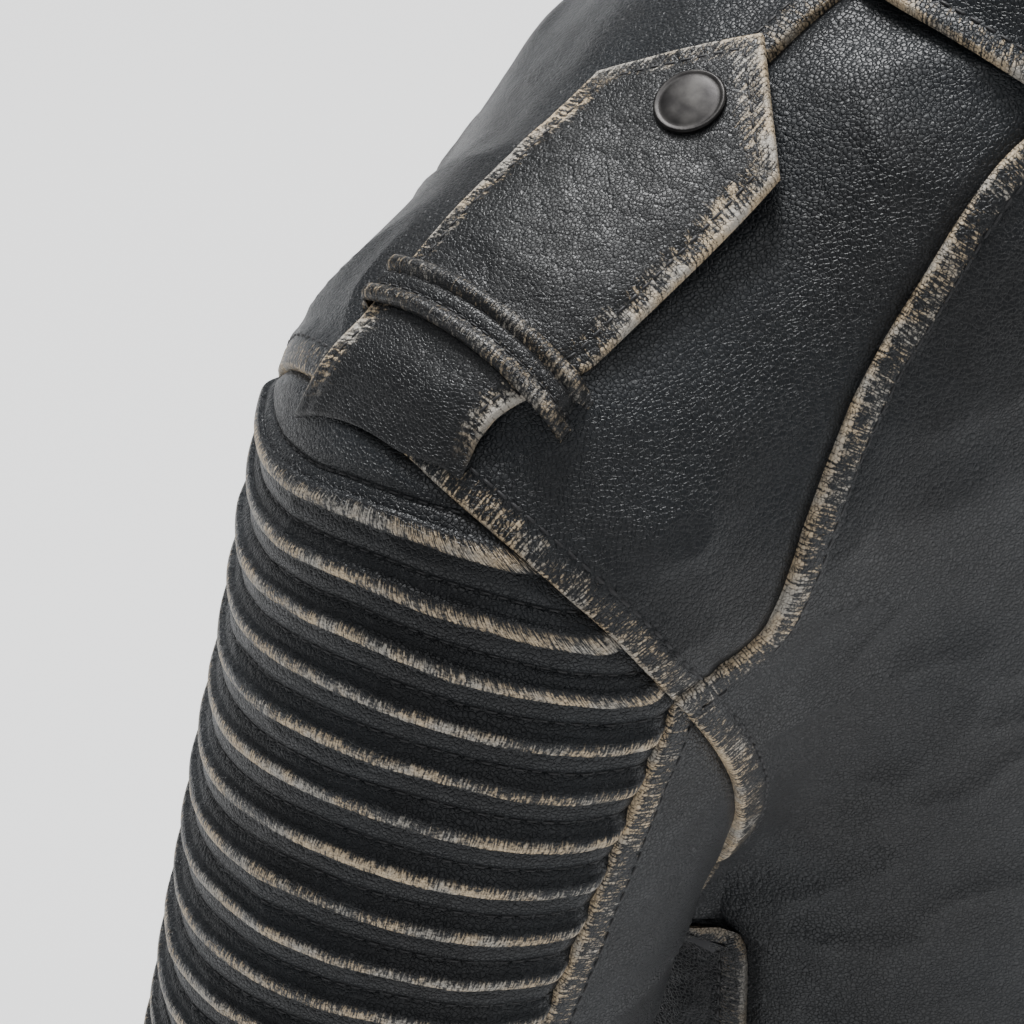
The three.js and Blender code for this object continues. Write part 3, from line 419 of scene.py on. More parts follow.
class Pattern:
    """The cut lines of the left half of the jacket, shared by the panels on both sides of each."""

    zip_half = 7.0
    neck_half = 70.0
    neck_split = 52.0
    neck_side = 96.0
    hem_half = 170.0
    hem_side_front = 68.0
    hem_side_back = 115.0

    def __init__(self) -> None:
        """Works out every seam line."""
        start = math.degrees(math.asin(self.zip_half / self.neck_half))
        self.neck_start = start
        self.arm_top_front = self.armhole(0.0, 80.0, 5)
        self.arm_front = self.armhole(80.0, 150.0, 4)
        self.arm_bottom = self.armhole(150.0, 215.0, 4)
        self.arm_back = self.armhole(215.0, 285.0, 4)
        self.arm_top_back = self.armhole(285.0, 360.0, 5)
        self.neck_front = Edge(self.neck(start + (self.neck_split - start) * span(3)))
        self.neck_front.rows[0, 0] = self.zip_half
        self.neck_yoke = Edge(self.neck(self.neck_split + (self.neck_side - self.neck_split) * span(5)))
        self.neck_back = Edge(self.neck(self.neck_side + (180.0 - self.neck_side) * span(5)))
        hem_start = math.degrees(math.asin(self.zip_half / self.hem_half))
        self.hem_front = self.hem(hem_start, self.hem_side_front, 7)
        self.hem_front.rows[0, 0] = self.zip_half
        self.hem_side = self.hem(self.hem_side_front, self.hem_side_back, 4)
        self.hem_back = self.hem(self.hem_side_back, 180.0, 9)
        self.hem_back.rows[-1, 0] = 0.0
        self.side_front = self.side_seam(self.hem_front.rows[-1], self.arm_front.rows[-1])
        self.side_back = self.side_seam(self.hem_back.rows[0], self.arm_bottom.rows[-1])
        top = self.neck_front.rows[0]
        z = top[2] * span(11)
        line = FORM.settle(np.stack([np.full_like(z, self.zip_half), FORM.front_y(z), z], -1), Region.BODY, True)
        line[:, 0] = self.zip_half
        line[0], line[-1] = self.hem_front.rows[0], top
        self.zip_line = Edge(line)
        j = self.arm_top_front.rows[-1]
        offsets = np.array([(0, 0, 0), (-18, -7, 10), (-30, -10, 35), (-52, -8, 66), (-92, -6, 94)], float)
        curve = catmull(np.concatenate([j + offsets, self.neck_front.rows[-1:]]), span(4))
        curve[1:-1] = FORM.settle(curve[1:-1], Region.WHOLE)
        self.yoke_seam = Edge(curve)
        t = span(4)[:, None]
        line = self.neck_yoke.rows[-1] * (1 - t) + self.arm_top_front.rows[0] * t
        line[1:-1] = FORM.on_top(line[1:-1, 0], line[1:-1, 1])
        self.shoulder_seam = Edge(line)
        first = self.arm_back.rows[-1]
        t = span(9)
        x = first[0] * (1 - t)
        y = FORM.back - 55.0 * (x / first[0]) ** 3
        line = FORM.settle(np.stack([x, y, first[2] - 9.0 * (1 - (1 - t) ** 2)], -1), Region.BODY, True)
        line[0] = first
        self.back_seam = Edge(line)
        self.armhole_ring = Edge.chain(
            self.arm_top_front, self.arm_front, self.arm_bottom, self.arm_back, self.arm_top_back
        )

    def armhole(self, first: float, last: float, cells: int) -> Edge:
        """Arc of the armhole, cast from a pivot inside the shoulder at angles measured from straight up to the front.

        Args:
            first: Angle at the start.
            last: Angle at the end.
            cells: Cells of the pattern along it.

        Returns:
            The seam line.
        """
        a = np.radians(first + (last - first) * span(cells))
        x = 188.5 + 30.5 * np.cos(a) + 2.5 * np.sin(a) + 1.3 * np.cos(2 * a) + 1.5 * np.sin(2 * a)
        start = np.stack([x, np.full_like(x, 4.0), np.full_like(x, 500.0)], -1)
        return Edge(FORM.cast(start, np.stack([0 * a, -np.sin(a), np.cos(a)], -1), Region.WHOLE))

    def neck(self, degrees: Array) -> Array:
        """Neck seam at angles from the middle of the front.

        Args:
            degrees: Angles.

        Returns:
            Points on the form.
        """
        a = np.radians(degrees)
        z = 573.0 + 27.5 * (1.0 - np.cos(a)) + 20.0 * np.sin(a) ** 2
        start = np.stack([self.neck_half * np.sin(a), -19.0 - 75.0 * np.cos(a), z], -1)
        p = FORM.settle(start, Region.WHOLE)
        p[np.sin(a) < 1e-6, 0] = 0.0
        return p

    def hem(self, first: float, last: float, cells: int) -> Edge:
        """Arc of the hem between two angles from the middle of the front.

        Args:
            first: Angle at the start.
            last: Angle at the end.
            cells: Cells of the pattern along it.

        Returns:
            The seam line.
        """
        a = np.radians(first + (last - first) * span(cells))
        start = np.stack([self.hem_half * np.sin(a), -6.0 - 120.0 * np.cos(a), 0 * a], -1)
        return Edge(FORM.settle(start, Region.BODY, True))

    def side_seam(self, low: Array, high: Array) -> Edge:
        """Straight cut between hem and armhole, on the surface.

        Args:
            low: Its end at the hem.
            high: Its end at the armhole.

        Returns:
            The seam line.
        """
        t = span(7)[:, None]
        line = low * (1 - t) + high * t
        line[1:-1] = FORM.settle(line[1:-1], Region.BODY, True)
        return Edge(line)


PATTERN = Pattern()


def coons(bottom: Edge, top: Edge, left: Edge, right: Edge, u: Array, v: Array) -> Array:
    """Coons patch: the two blends between opposite edges less the blend of the corners.

    Args:
        bottom: Edge at v = 0.
        top: Edge at v = 1.
        left: Edge at u = 0.
        right: Edge at u = 1.
        u: Parameters across.
        v: Parameters up.

    Returns:
        Rows, shape (len(v), len(u), columns).
    """
    b, t, le, r = bottom.at(u)[None], top.at(u)[None], left.at(v)[:, None], right.at(v)[:, None]
    uu, vv = u[None, :, None], v[:, None, None]
    corners = (b[:, :1] * (1 - uu) + b[:, -1:] * uu) * (1 - vv) + (t[:, :1] * (1 - uu) + t[:, -1:] * uu) * vv
    return b * (1 - vv) + t * vv + le * (1 - uu) + r * uu - corners


def torso_patch(
    edges: tuple[Edge, Edge, Edge, Edge], u: Array, v: Array, region: Region, level: bool
) -> Array:
    """Patch of the torso, settled on the form, with its four edges kept exactly.

    Args:
        edges: Bottom, top, left and right.
        u: Parameters across.
        v: Parameters up.
        region: Surface to settle on.
        level: Keep heights while settling.

    Returns:
        Points, shape (len(v), len(u), 3).
    """
    bottom, top, left, right = edges
    grid = FORM.settle(coons(bottom, top, left, right, u, v), region, level)
    grid[0], grid[-1], grid[:, 0], grid[:, -1] = bottom.at(u), top.at(u), left.at(v), right.at(v)
    return grid


class SleevePattern:
    """Sleeve seams as distance along the arm, angle round it and place."""

    elbow_seam = 262.0
    front_swing = 10.0
    back_swing = -12.0

    def __init__(self) -> None:
        """Works out the seams of the three sleeve panels."""
        joints = [np.array(j) for j in (FORM.shoulder_at, FORM.elbow_at, FORM.wrist_at)]
        self.joints = joints
        self.upper = float(np.linalg.norm(joints[1] - joints[0]))
        self.lower = float(np.linalg.norm(joints[2] - joints[1]))
        self.end = self.upper + self.lower
        self.axes = [unit(joints[1] - joints[0]), unit(joints[2] - joints[1])]
        p = PATTERN
        front = self.place(p.arm_top_front.rows[-1:], 15.0)[0]
        back = self.place(p.arm_back.rows[-1:], 175.0)[0]
        self.front_upper = self.seam(front, self.front_swing, front[0], self.elbow_seam)
        self.front_lower = self.seam(front, self.front_swing, self.elbow_seam, self.end)
        self.back_upper = self.seam(back, self.back_swing, back[0], self.elbow_seam)
        self.back_lower = self.seam(back, self.back_swing, self.elbow_seam, self.end)
        self.elbow = self.ring(self.back_upper.rows[-1], self.front_upper.rows[-1], 8)
        self.cuff = self.ring(self.back_lower.rows[-1], self.front_lower.rows[-1], 8)
        head = Edge.chain(p.armhole(345.0, 360.0, 4), p.armhole(0.0, 16.0, 4))
        self.head = Edge(self.place(head.rows, 90.0))
        head_back = Edge(self.place(p.armhole(345.0, 285.0, 4).rows, 140.0))
        head_front = Edge(self.place(p.armhole(16.0, 80.0, 4).rows, 50.0))
        self.rib_back = Edge.chain(head_back, self.back_upper)
        self.rib_front = Edge.chain(head_front, self.front_upper)
        hints = ((p.arm_front, 0.0), (p.arm_bottom, -80.0), (p.arm_back, -150.0))
        self.under_top = Edge.chain(*(Edge(self.place(e.rows, hint)) for e, hint in hints))
        self.under_front = Edge.chain(self.front_upper, self.front_lower)
        turn = np.array([0.0, 360.0, 0.0, 0.0, 0.0])
        self.under_back = Edge(Edge.chain(self.back_upper, self.back_lower).rows - turn)
        self.under_cuff = self.ring(self.under_front.rows[-1], self.under_back.rows[-1], 12)

    def frames(self, s: Array) -> tuple[Array, Array, Array, Array]:
        """Centre, axis, front and outward directions at distances along the arm, turned smoothly at the elbow.

        Args:
            s: Distances along the arm.

        Returns:
            Four arrays of shape (..., 3).
        """
        bend = smooth(self.upper - 50.0, self.upper + 50.0, s)[..., None]
        axis = unit(self.axes[0] * (1 - bend) + self.axes[1] * bend)
        first = self.joints[0] + self.axes[0] * s[..., None]
        second = self.joints[1] + self.axes[1] * (s - self.upper)[..., None]
        centre = np.where((s < self.upper)[..., None], first, second)
        front = np.zeros_like(axis)
        front[..., 1] = -1.0
        front = unit(front - axis * dot(front, axis)[..., None])
        return centre, axis, front, np.cross(front, axis)

    def point(self, s: Array, degrees: Array) -> Array:
        """Surface point at a distance and angle, cast out from the arm's axis.

        Args:
            s: Distance along the arm.
            degrees: Angle round it.

        Returns:
            The point.
        """
        centre, _, front, outward = self.frames(s)
        a = np.radians(degrees)[..., None]
        return FORM.cast(centre, front * np.cos(a) + outward * np.sin(a), Region.ARM)

    def place(self, p: Array, hint: float) -> Array:
        """Distance, angle near a hint, and place of points beside the upper arm.

        Args:
            p: Points, shape (n, 3).
            hint: Angle that the result stays within half a turn of.

        Returns:
            Rows of distance, angle and place.
        """
        s = (p - self.joints[0]) @ self.axes[0]
        centre, _, front, outward = self.frames(s)
        offset = p - centre
        degrees = np.degrees(np.arctan2(dot(offset, outward), dot(offset, front)))
        degrees = degrees - 360.0 * np.round((degrees - hint) / 360.0)
        return np.concatenate([s[:, None], degrees[:, None], p], -1)

    def seam(self, start: Array, swing: float, first: float, last: float) -> Edge:
        """Lengthwise seam that swings round the arm by a quarter sine over its first 300 mm.

        Args:
            start: Row where the seam leaves the armhole.
            swing: Angle gained in all.
            first: Distance at its start.
            last: Distance at its end.

        Returns:
            The seam line.
        """
        s = first + (last - first) * span(8)
        degrees = start[1] + swing * np.sin(np.clip((s - start[0]) / 300.0, 0.0, 1.0) * math.pi / 2.0)
        places = self.point(s, degrees)
        if abs(s[0] - start[0]) < 1e-9:
            places[0] = start[2:]
        return Edge(np.concatenate([s[:, None], degrees[:, None], places], -1))

    def ring(self, a: Array, b: Array, cells: int) -> Edge:
        """Seam across the arm between two rows.

        Args:
            a: Its first row end.
            b: Its last row end.
            cells: Cells of the pattern along it.

        Returns:
            The seam line.
        """
        t = span(cells)
        s, degrees = a[0] + (b[0] - a[0]) * t, a[1] + (b[1] - a[1]) * t
        places = self.point(s, degrees)
        places[0], places[-1] = a[2:], b[2:]
        return Edge(np.concatenate([s[:, None], degrees[:, None], places], -1))

    def patch(self, top: Edge, bottom: Edge, left: Edge, right: Edge, u: Array, v: Array) -> Array:
        """Patch blended in distance and angle, then cast out to the surface.

        Args:
            top: Edge at v = 0.
            bottom: Edge at v = 1.
            left: Edge at u = 0.
            right: Edge at u = 1.
            u: Parameters across.
            v: Parameters along the arm.

        Returns:
            Points, shape (len(v), len(u), 3).
        """
        rows = coons(top, bottom, left, right, u, v)
        grid = self.point(rows[..., 0], rows[..., 1])
        for here, edge, t in (
            (np.s_[0], top, u),
            (np.s_[-1], bottom, u),
            (np.s_[:, 0], left, v),
            (np.s_[:, -1], right, v),
        ):
            grid[here] = edge.at(t)[:, 2:]
        return grid


SLEEVE = SleevePattern()


# ---- meshes ----
@dataclass
class Skin:
    """Vertices in hem frame millimetres, faces as index arrays and values per vertex."""

    points: Array
    faces: list[Array]
    values: dict[str, Array] = field(default_factory=dict)

    def mirrored(self, sign: float) -> "Skin":
        """The same skin on the side that sign names, still facing outward.

        Args:
            sign: 1 for the left, -1 for the right.

        Returns:
            The skin itself or its mirror image.
        """
        if sign > 0:
            return self
        return Skin(flipped(self.points, sign), [f[:, ::-1] for f in self.faces], self.values)

    @staticmethod
    def merged(skins: Sequence["Skin"]) -> "Skin":
        """Several skins as one, with a zero for any value that one of them lacks.

        Args:
            skins: What to merge.

        Returns:
            One skin.
        """
        faces, start = [], 0
        for skin in skins:
            faces += [f + start for f in skin.faces]
            start += len(skin.points)
        names = sorted({name for skin in skins for name in skin.values})
        values = {
            name: np.concatenate([skin.values.get(name, np.zeros(len(skin.points))) for skin in skins])
            for name in names
        }
        return Skin(np.concatenate([skin.points for skin in skins]), faces, values)


def grid_faces(ids: Array) -> Array:
    """Quads of a grid of vertex numbers."""
    return np.stack([ids[:-1, :-1], ids[:-1, 1:], ids[1:, 1:], ids[1:, :-1]], -1).reshape(-1, 4)


def rim_loop(a: Array) -> Array:
    """A grid's border once round: first row, last column, last row and first column."""
    return np.concatenate([a[0, :-1], a[:-1, -1], a[-1, :0:-1], a[:0:-1, 0]])


def closed_sheet(
    outer: Array,
    inner: Array,
    values: dict[str, Array] | None = None,
    stride: int = 4,
    rim: Sequence[tuple[float, float]] = (),
) -> Skin:
    """Closed sheet: a fine outer grid, a coarser inner one of every stride-th line, and a wall between them.

    Args:
        outer: Outer grid, shape (m, n, 3), with m - 1 and n - 1 multiples of stride.
        inner: Inner grid of the same shape.
        values: Values per grid point.
        stride: Lines of the outer grid per line of the inner one.
        rim: For each ring of the wall, its share of the way inward and how far it stands out.

    Returns:
        The closed skin, facing out.
    """
    m, n = outer.shape[:2]
    top = np.arange(m * n).reshape(m, n)
    coarse_points = inner[::stride, ::stride]
    edge_out, edge_in = rim_loop(outer), rim_loop(inner)
    away = unit(edge_out - rim_loop(inward_neighbours(outer)))
    points, faces, rings = [outer.reshape(-1, 3)], [grid_faces(top)], [rim_loop(top)]
    count = m * n
    for share, push in rim:
        points.append(edge_out * (1 - share) + edge_in * share + away * push)
        rings.append(count + np.arange(len(edge_out)))
        count += len(edge_out)
    for above, below in zip(rings, rings[1:]):
        faces.append(np.stack([np.roll(above, -1), above, below, np.roll(below, -1)], -1))
    low = count + np.arange(coarse_points.shape[0] * coarse_points.shape[1]).reshape(coarse_points.shape[:2])
    points.append(coarse_points.reshape(-1, 3))
    faces.append(grid_faces(low)[:, ::-1])
    fine, coarse = rings[-1], rim_loop(low)
    step = np.arange(len(fine))
    near = np.where(step % stride < stride // 2, step // stride, step // stride + 1) % len(coarse)
    faces.append(np.stack([np.roll(fine, -1), fine, coarse[near]], -1))
    faces.append(np.stack([fine[stride // 2 :: stride], coarse, np.roll(coarse, -1)], -1))
    out: dict[str, Array] = {}
    for name, value in (values or {}).items():
        border = rim_loop(value)
        out[name] = np.concatenate([value.ravel()] + [border] * len(rim) + [value[::stride, ::stride].ravel()])
    skin = Skin(np.concatenate(points), faces, out)
    a, b, c = (outer[:-1, :-1], outer[:-1, 1:], outer[1:, :-1])
    facing = dot(np.cross(b - a, c - a), (outer - inner)[:-1, :-1]).sum()
    if facing < 0:
        skin.faces = [f[:, ::-1] for f in skin.faces]
    return skin


def inward_neighbours(grid: Array) -> Array:
    """For each border point of a grid the next point inward, diagonally at the corners; inner points as they are.

    Args:
        grid: Point numbers of a grid.

    Returns:
        A number for each.
    """
    m, n = grid.shape[:2]
    rows = np.clip(np.arange(m), 1, m - 2)
    columns = np.clip(np.arange(n), 1, n - 2)
    return grid[rows][:, columns]


def tube(path: Array, profile: Array, side: Array, up: Array, closed: bool = True) -> Skin:
    """A profile carried along a path.

    Args:
        path: Centre line, shape (m, 3).
        profile: Cross-section, shape (n, 2) or (m, n, 2), in the directions side and up, counter-clockwise.
        side: Directions across, shape (m, 3).
        up: Directions out, shape (m, 3).
        closed: The path is a ring.

    Returns:
        The skin, with flat ends where the path is open.
    """
    shape = np.broadcast_to(profile, (len(path),) + profile.shape[-2:])
    grid = path[:, None] + shape[..., :1] * side[:, None] + shape[..., 1:] * up[:, None]
    m, n = grid.shape[:2]
    ids = np.arange(m * n).reshape(m, n)
    wrapped = np.concatenate([ids, ids[:, :1]], 1)
    if closed:
        wrapped = np.concatenate([wrapped, wrapped[:1]], 0)
    faces = [grid_faces(wrapped)]
    if not closed:
        faces += [ids[:1, ::-1], ids[-1:]]
    skin = Skin(grid.reshape(-1, 3), faces)
    a, b, c = grid[0, 0], grid[0, 1], grid[1, 0]
    if np.dot(np.cross(b - a, c - a), a - path[0]) < 0:
        skin.faces = [f[:, ::-1] for f in skin.faces]
    return skin


def turned(profile: Array, centre: Array, axis: Array, segments: int = 48) -> Skin:
    """A profile of radius and height spun round an axis; its first and last radius are zero.

    Args:
        profile: Radius and height, shape (n, 2).
        centre: Point on the axis at height zero.
        axis: Unit direction of the axis.
        segments: Steps round.

    Returns:
        A closed skin.
    """
    side = unit(np.cross(axis, np.array([0.0, 1.0, 0.0])))
    other = np.cross(axis, side)
    a = np.linspace(0.0, 2 * math.pi, segments, endpoint=False)
    ring = np.cos(a)[:, None] * side + np.sin(a)[:, None] * other
    body = centre + profile[1:-1, None, :1] * ring[None] + profile[1:-1, None, 1:] * axis
    poles = centre + profile[[0, -1], 1:] * axis
    points = np.concatenate([body.reshape(-1, 3), poles])
    ids = np.arange(body.shape[0] * segments).reshape(-1, segments)
    wrapped = np.concatenate([ids, ids[:, :1]], 1)
    first, last = len(points) - 2, len(points) - 1
    low = np.stack([wrapped[0, 1:], wrapped[0, :-1], np.full(segments, first)], -1)
    high = np.stack([wrapped[-1, :-1], wrapped[-1, 1:], np.full(segments, last)], -1)
    return Skin(points, [grid_faces(wrapped), low, high])


def repeated(template: Skin, centres: Array, x: Array, y: Array, z: Array) -> Skin:
    """Copies of a small template, one in each local frame.

    Args:
        template: Shape in its own frame.
        centres: Places, shape (k, 3).
        x: First axes, shape (k, 3).
        y: Second axes.
        z: Third axes.

    Returns:
        All copies as one skin.
    """
    t = template.points
    points = centres[:, None] + t[:, :1] * x[:, None] + t[:, 1:2] * y[:, None] + t[:, 2:] * z[:, None]
    shift = (np.arange(len(centres)) * len(t))[:, None, None]
    return Skin(points.reshape(-1, 3), [(f[None] + shift).reshape(-1, f.shape[1]) for f in template.faces])


def capsule(length: float, radius: float, sag: float) -> Skin:
    """A stitch: a short thread along x, thinner at its ends and dipping there.

    Args:
        length: Its length.
        radius: Its greatest radius.
        sag: How far its ends dip.

    Returns:
        A closed skin of twenty faces.
    """
    t = np.array([-1.0, -0.6, 0.6, 1.0])
    size = radius * np.array([0.45, 1.0, 1.0, 0.45])
    a = np.linspace(0.0, 2 * math.pi, 6, endpoint=False)
    ring = np.stack([0 * a, np.cos(a), np.sin(a)], -1)
    grid = ring[None] * size[:, None, None]
    grid[..., 0] = (t * length / 2)[:, None]
    grid[..., 2] -= (sag * t**2)[:, None]
    ids = np.arange(24).reshape(4, 6)
    wrapped = np.concatenate([ids, ids[:, :1]], 1)
    return Skin(grid.reshape(-1, 3), [grid_faces(wrapped), ids[:1, ::-1], ids[-1:]])


def stitch_row(line: Array, normals: Array, pitch: float = 3.6, length: float = 2.7, radius: float = 0.36) -> Skin:
    """Stitches along a line on a surface, left out where the line jumps.

    Args:
        line: Places, shape (k, 3).
        normals: Outward directions there.
        pitch: Distance from stitch to stitch.
        length: Length of a stitch.
        radius: Thread radius.

    Returns:
        One skin of all the stitches.
    """
    gap = np.linalg.norm(np.diff(line, axis=0), axis=-1)
    s = np.concatenate([[0.0], np.cumsum(gap)])
    at = np.arange(pitch / 2, s[-1] - pitch / 2, pitch)
    piece = np.clip(np.searchsorted(s, at) - 1, 0, len(gap) - 1)
    at = at[gap[piece] < 9.0]

    def along(values: Array, where: Array) -> Array:
        """Values interpolated at distances along the line."""
        return np.stack([np.interp(where, s, values[:, axis]) for axis in range(3)], -1)

    centre, z = along(line, at), unit(along(normals, at))
    x = along(line, at + 0.8) - along(line, at - 0.8)
    x = unit(x - z * dot(x, z)[:, None])
    return repeated(capsule(length, radius, 0.3), centre + z * 0.12, x, np.cross(z, x), z)


def add_piece(
    name: str,
    skin: Skin,
    material: bpy.types.Material,
    body: str | None = "jacket",
    replaces: Sequence[str] = (),
    crease: float = 60.0,
) -> bpy.types.Object:
    """Makes the object of a piece, in the row frame in metres, attaches it to its body and hides the CAD nodes it
    stands for.

    Args:
        name: Piece name.
        skin: Its surface.
        material: Its finish.
        body: Body it rides on, or None to leave it without one.
        replaces: CAD nodes it stands for.
        crease: Angle past which an edge is sharp, in degrees.

    Returns:
        The new object.
    """
    mesh = bpy.data.meshes.new(name)
    points = (skin.points + HEM_SHIFT) * METRE
    faces = [face for block in skin.faces for face in block.tolist()]
    mesh.from_pydata(points.tolist(), [], faces)
    for key, value in skin.values.items():
        mesh.attributes.new(key, "FLOAT", "POINT").data.foreach_set("value", value.astype(np.float32))
    mesh.shade_smooth()
    mesh.set_sharp_from_angle(angle=math.radians(crease))
    mesh.materials.append(material)
    piece = bpy.data.objects.new(name, mesh)
    bpy.context.scene.collection.objects.link(piece)
    if body is not None:
        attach(piece, body)
    if replaces:
        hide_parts(*replaces)
    LOG.info("%s: %d faces", name, len(faces))
    return piece


# ---- leather panels ----
class Fold(Enum):
    """How a panel's edge is finished: band height, rounding drop, tuck depth, reach past the seam line."""

    OVER = (1.05, 1.5, 0.0, 0.9)
    UNDER = (0.0, 0.0, 1.5, 0.6)
    HEM = (0.7, 1.3, 0.0, 0.0)
    CAUGHT = (0.0, 0.0, 0.8, 0.3)


class Border(Enum):
    """Which side of a panel's grid a seam lies on."""

    BOTTOM = 0
    TOP = 1
    LEFT = 2
    RIGHT = 3


@dataclass(frozen=True)
class SeamSide:
    """One seam as one of its panels sees it."""

    edge: Edge
    border: Border
    fold: Fold
    worn: float = 0.0
    stitches: tuple[float, ...] = ()
    band: float = 8.0


def nearest_on(line: Array, p: Array) -> tuple[Array, Array, Array, Array]:
    """Nearest places on a line of short segments: the nearest row first, then the closer of its two segments.

    Args:
        line: Rows of the line, shape (q, 3).
        p: Points, shape (k, 3).

    Returns:
        Distance, distance along the line, nearest place and tangent for each point.
    """
    lengths = np.linalg.norm(np.diff(line, axis=0), axis=-1)
    s = np.concatenate([[0.0], np.cumsum(lengths)])
    squared = (p * p).sum(-1)[:, None] - 2.0 * p @ line.T + (line * line).sum(-1)[None]
    k = squared.argmin(1)
    best = np.full(len(p), np.inf)
    along, place, tangent = np.zeros(len(p)), np.zeros_like(p), np.zeros_like(p)
    for shift in (-1, 0):
        a = np.clip(k + shift, 0, len(line) - 2)
        ab = line[a + 1] - line[a]
        t = np.clip(dot(p - line[a], ab) / dot(ab, ab), 0.0, 1.0)
        q = line[a] + ab * t[:, None]
        d = np.linalg.norm(p - q, axis=-1)
        closer = d < best
        best = np.where(closer, d, best)
        along = np.where(closer, s[a] + t * lengths[a], along)
        place = np.where(closer[:, None], q, place)
        tangent = np.where(closer[:, None], unit(ab), tangent)
    return best, along, place, tangent


def graded(length: float, spacing: float, multiple: int = 4) -> Array:
    """Parameters from 0 to 1 that crowd towards both ends, where edges roll over.

    Args:
        length: Real length that they cover.
        spacing: Distance between lines in the middle.
        multiple: The number of steps is a multiple of this.

    Returns:
        Rising parameters.
    """
    edge = np.array([0.0, 0.35, 0.75, 1.25, 1.9, 2.7, 3.6, 4.6, 5.7, 7.0, 8.6, 10.6])
    if length < 3 * edge[-1]:
        edge = edge * length / (3 * edge[-1])
    middle = length - 2 * edge[-1]
    count = max(2, int(round(middle / spacing)))
    count += -(2 * (len(edge) - 1) + count) % multiple
    inner = np.linspace(edge[-1], length - edge[-1], count + 1)[1:-1]
    return np.concatenate([edge, inner, (length - edge)[::-1]]) / length


@dataclass
class Relief:
    """What a panel's surface does above its base: shifts, heights and values per grid point."""

    shift: Array
    height: Array
    values: dict[str, Array]
    distances: list[tuple[Array, Array]]


def relief_of(points: Array, normals: Array, seams: Sequence[SeamSide], seed: int) -> Relief:
    """Heights of turned edges, tucks, stitch grooves and puckers from the distances to a panel's seams.

    A band stands up near an overlapping edge and rolls down over its last millimetre as a quarter round; a tucked
    edge sinks; a bell-shaped groove follows each row of stitches, and noise along the seam puckers the band.

    Args:
        points: Grid of base points with x never negative, shape (m, n, 3).
        normals: Outward directions there.
        seams: The panel's seams.
        seed: Chooses the puckers.

    Returns:
        The relief.
    """
    shape = points.shape[:2]
    p, nrm = points.reshape(-1, 3), normals.reshape(-1, 3)
    band, drop, tuck, groove = (np.zeros(len(p)) for _ in range(4))
    shift = np.zeros_like(p)
    edge_mm, along_mm, worn = np.full(len(p), 60.0), np.zeros(len(p)), np.zeros(len(p))
    distances = []
    for seam in seams:
        d, along, place, tangent = nearest_on(seam.edge.resampled(1.5), p)
        rise, rounding, sunk, reach = seam.fold.value
        side = np.cross(nrm, tangent)
        ring = (d > 1.0) & (d < 12.0)
        side = side * np.sign(dot(p - place, side)[ring].sum() or 1.0)
        pucker = ripple(np.stack([along / 7.0, d / 9.0, 0 * d + 5.0 * seed], -1), 1.0, seed, 2)
        width = seam.band * (1.0 + 0.12 * pucker)
        band = np.maximum(band, rise * (1.0 + 0.22 * pucker) * (1.0 - smooth(0.75, 1.2, d / width)))
        drop = np.maximum(drop, rounding * (1.0 - np.sqrt(1.0 - np.clip(1.0 - d / 1.4, 0.0, 1.0) ** 2)))
        tuck = np.maximum(tuck, sunk * (1.0 - smooth(0.0, 5.0, d)))
        for row in seam.stitches:
            stretch = 0.75 + 0.25 * np.cos(along * 2 * math.pi / 3.6)
            groove = np.maximum(groove, 0.55 * stretch * bell(d, row, 1.0))
        shift -= side * (reach * (1.0 - smooth(0.0, 4.0, d)))[:, None]
        closer = (d < edge_mm) & (seam.worn > 0.0)
        edge_mm = np.where(closer, d, edge_mm)
        along_mm = np.where(closer, along, along_mm)
        worn = np.where(closer, seam.worn, worn)
        distances.append((d.reshape(shape), along.reshape(shape)))
    height = band - np.maximum(drop, tuck) - groove
    values = {"edge_mm": edge_mm.reshape(shape), "along_mm": along_mm.reshape(shape), "worn": worn.reshape(shape)}
    return Relief(shift.reshape(points.shape), height.reshape(shape), values, distances)


def contour(
    surface: Array, normals: Array, value: Array, level: float, border: Border, keep: Array
) -> tuple[Array, Array]:
    """Line where a value first passes a level, found on each grid line that leaves a border.

    Args:
        surface: Grid of places.
        normals: Grid of outward directions.
        value: Grid of the value.
        level: Level to find.
        border: Border that the value is measured from.
        keep: Grid of flags; a crossing beside a false one is dropped.

    Returns:
        Places and directions along the line.
    """
    arrays = [surface, normals, value[..., None], keep[..., None].astype(float)]
    if border in (Border.LEFT, Border.RIGHT):
        arrays = [a.swapaxes(0, 1) for a in arrays]
    if border in (Border.TOP, Border.RIGHT):
        arrays = [a[::-1] for a in arrays]
    place, normal, v, flag = arrays
    v = v[..., 0]
    past = v >= level
    k = past.argmax(0)
    columns = np.arange(v.shape[1])
    good = (k > 0) & (flag[k, columns, 0] > 0.5)
    k, columns = k[good], columns[good]
    low, high = v[k - 1, columns], v[k, columns]
    f = ((level - low) / np.maximum(high - low, 1e-9))[:, None]
    return (
        place[k - 1, columns] * (1 - f) + place[k, columns] * f,
        unit(normal[k - 1, columns] * (1 - f) + normal[k, columns] * f),
    )


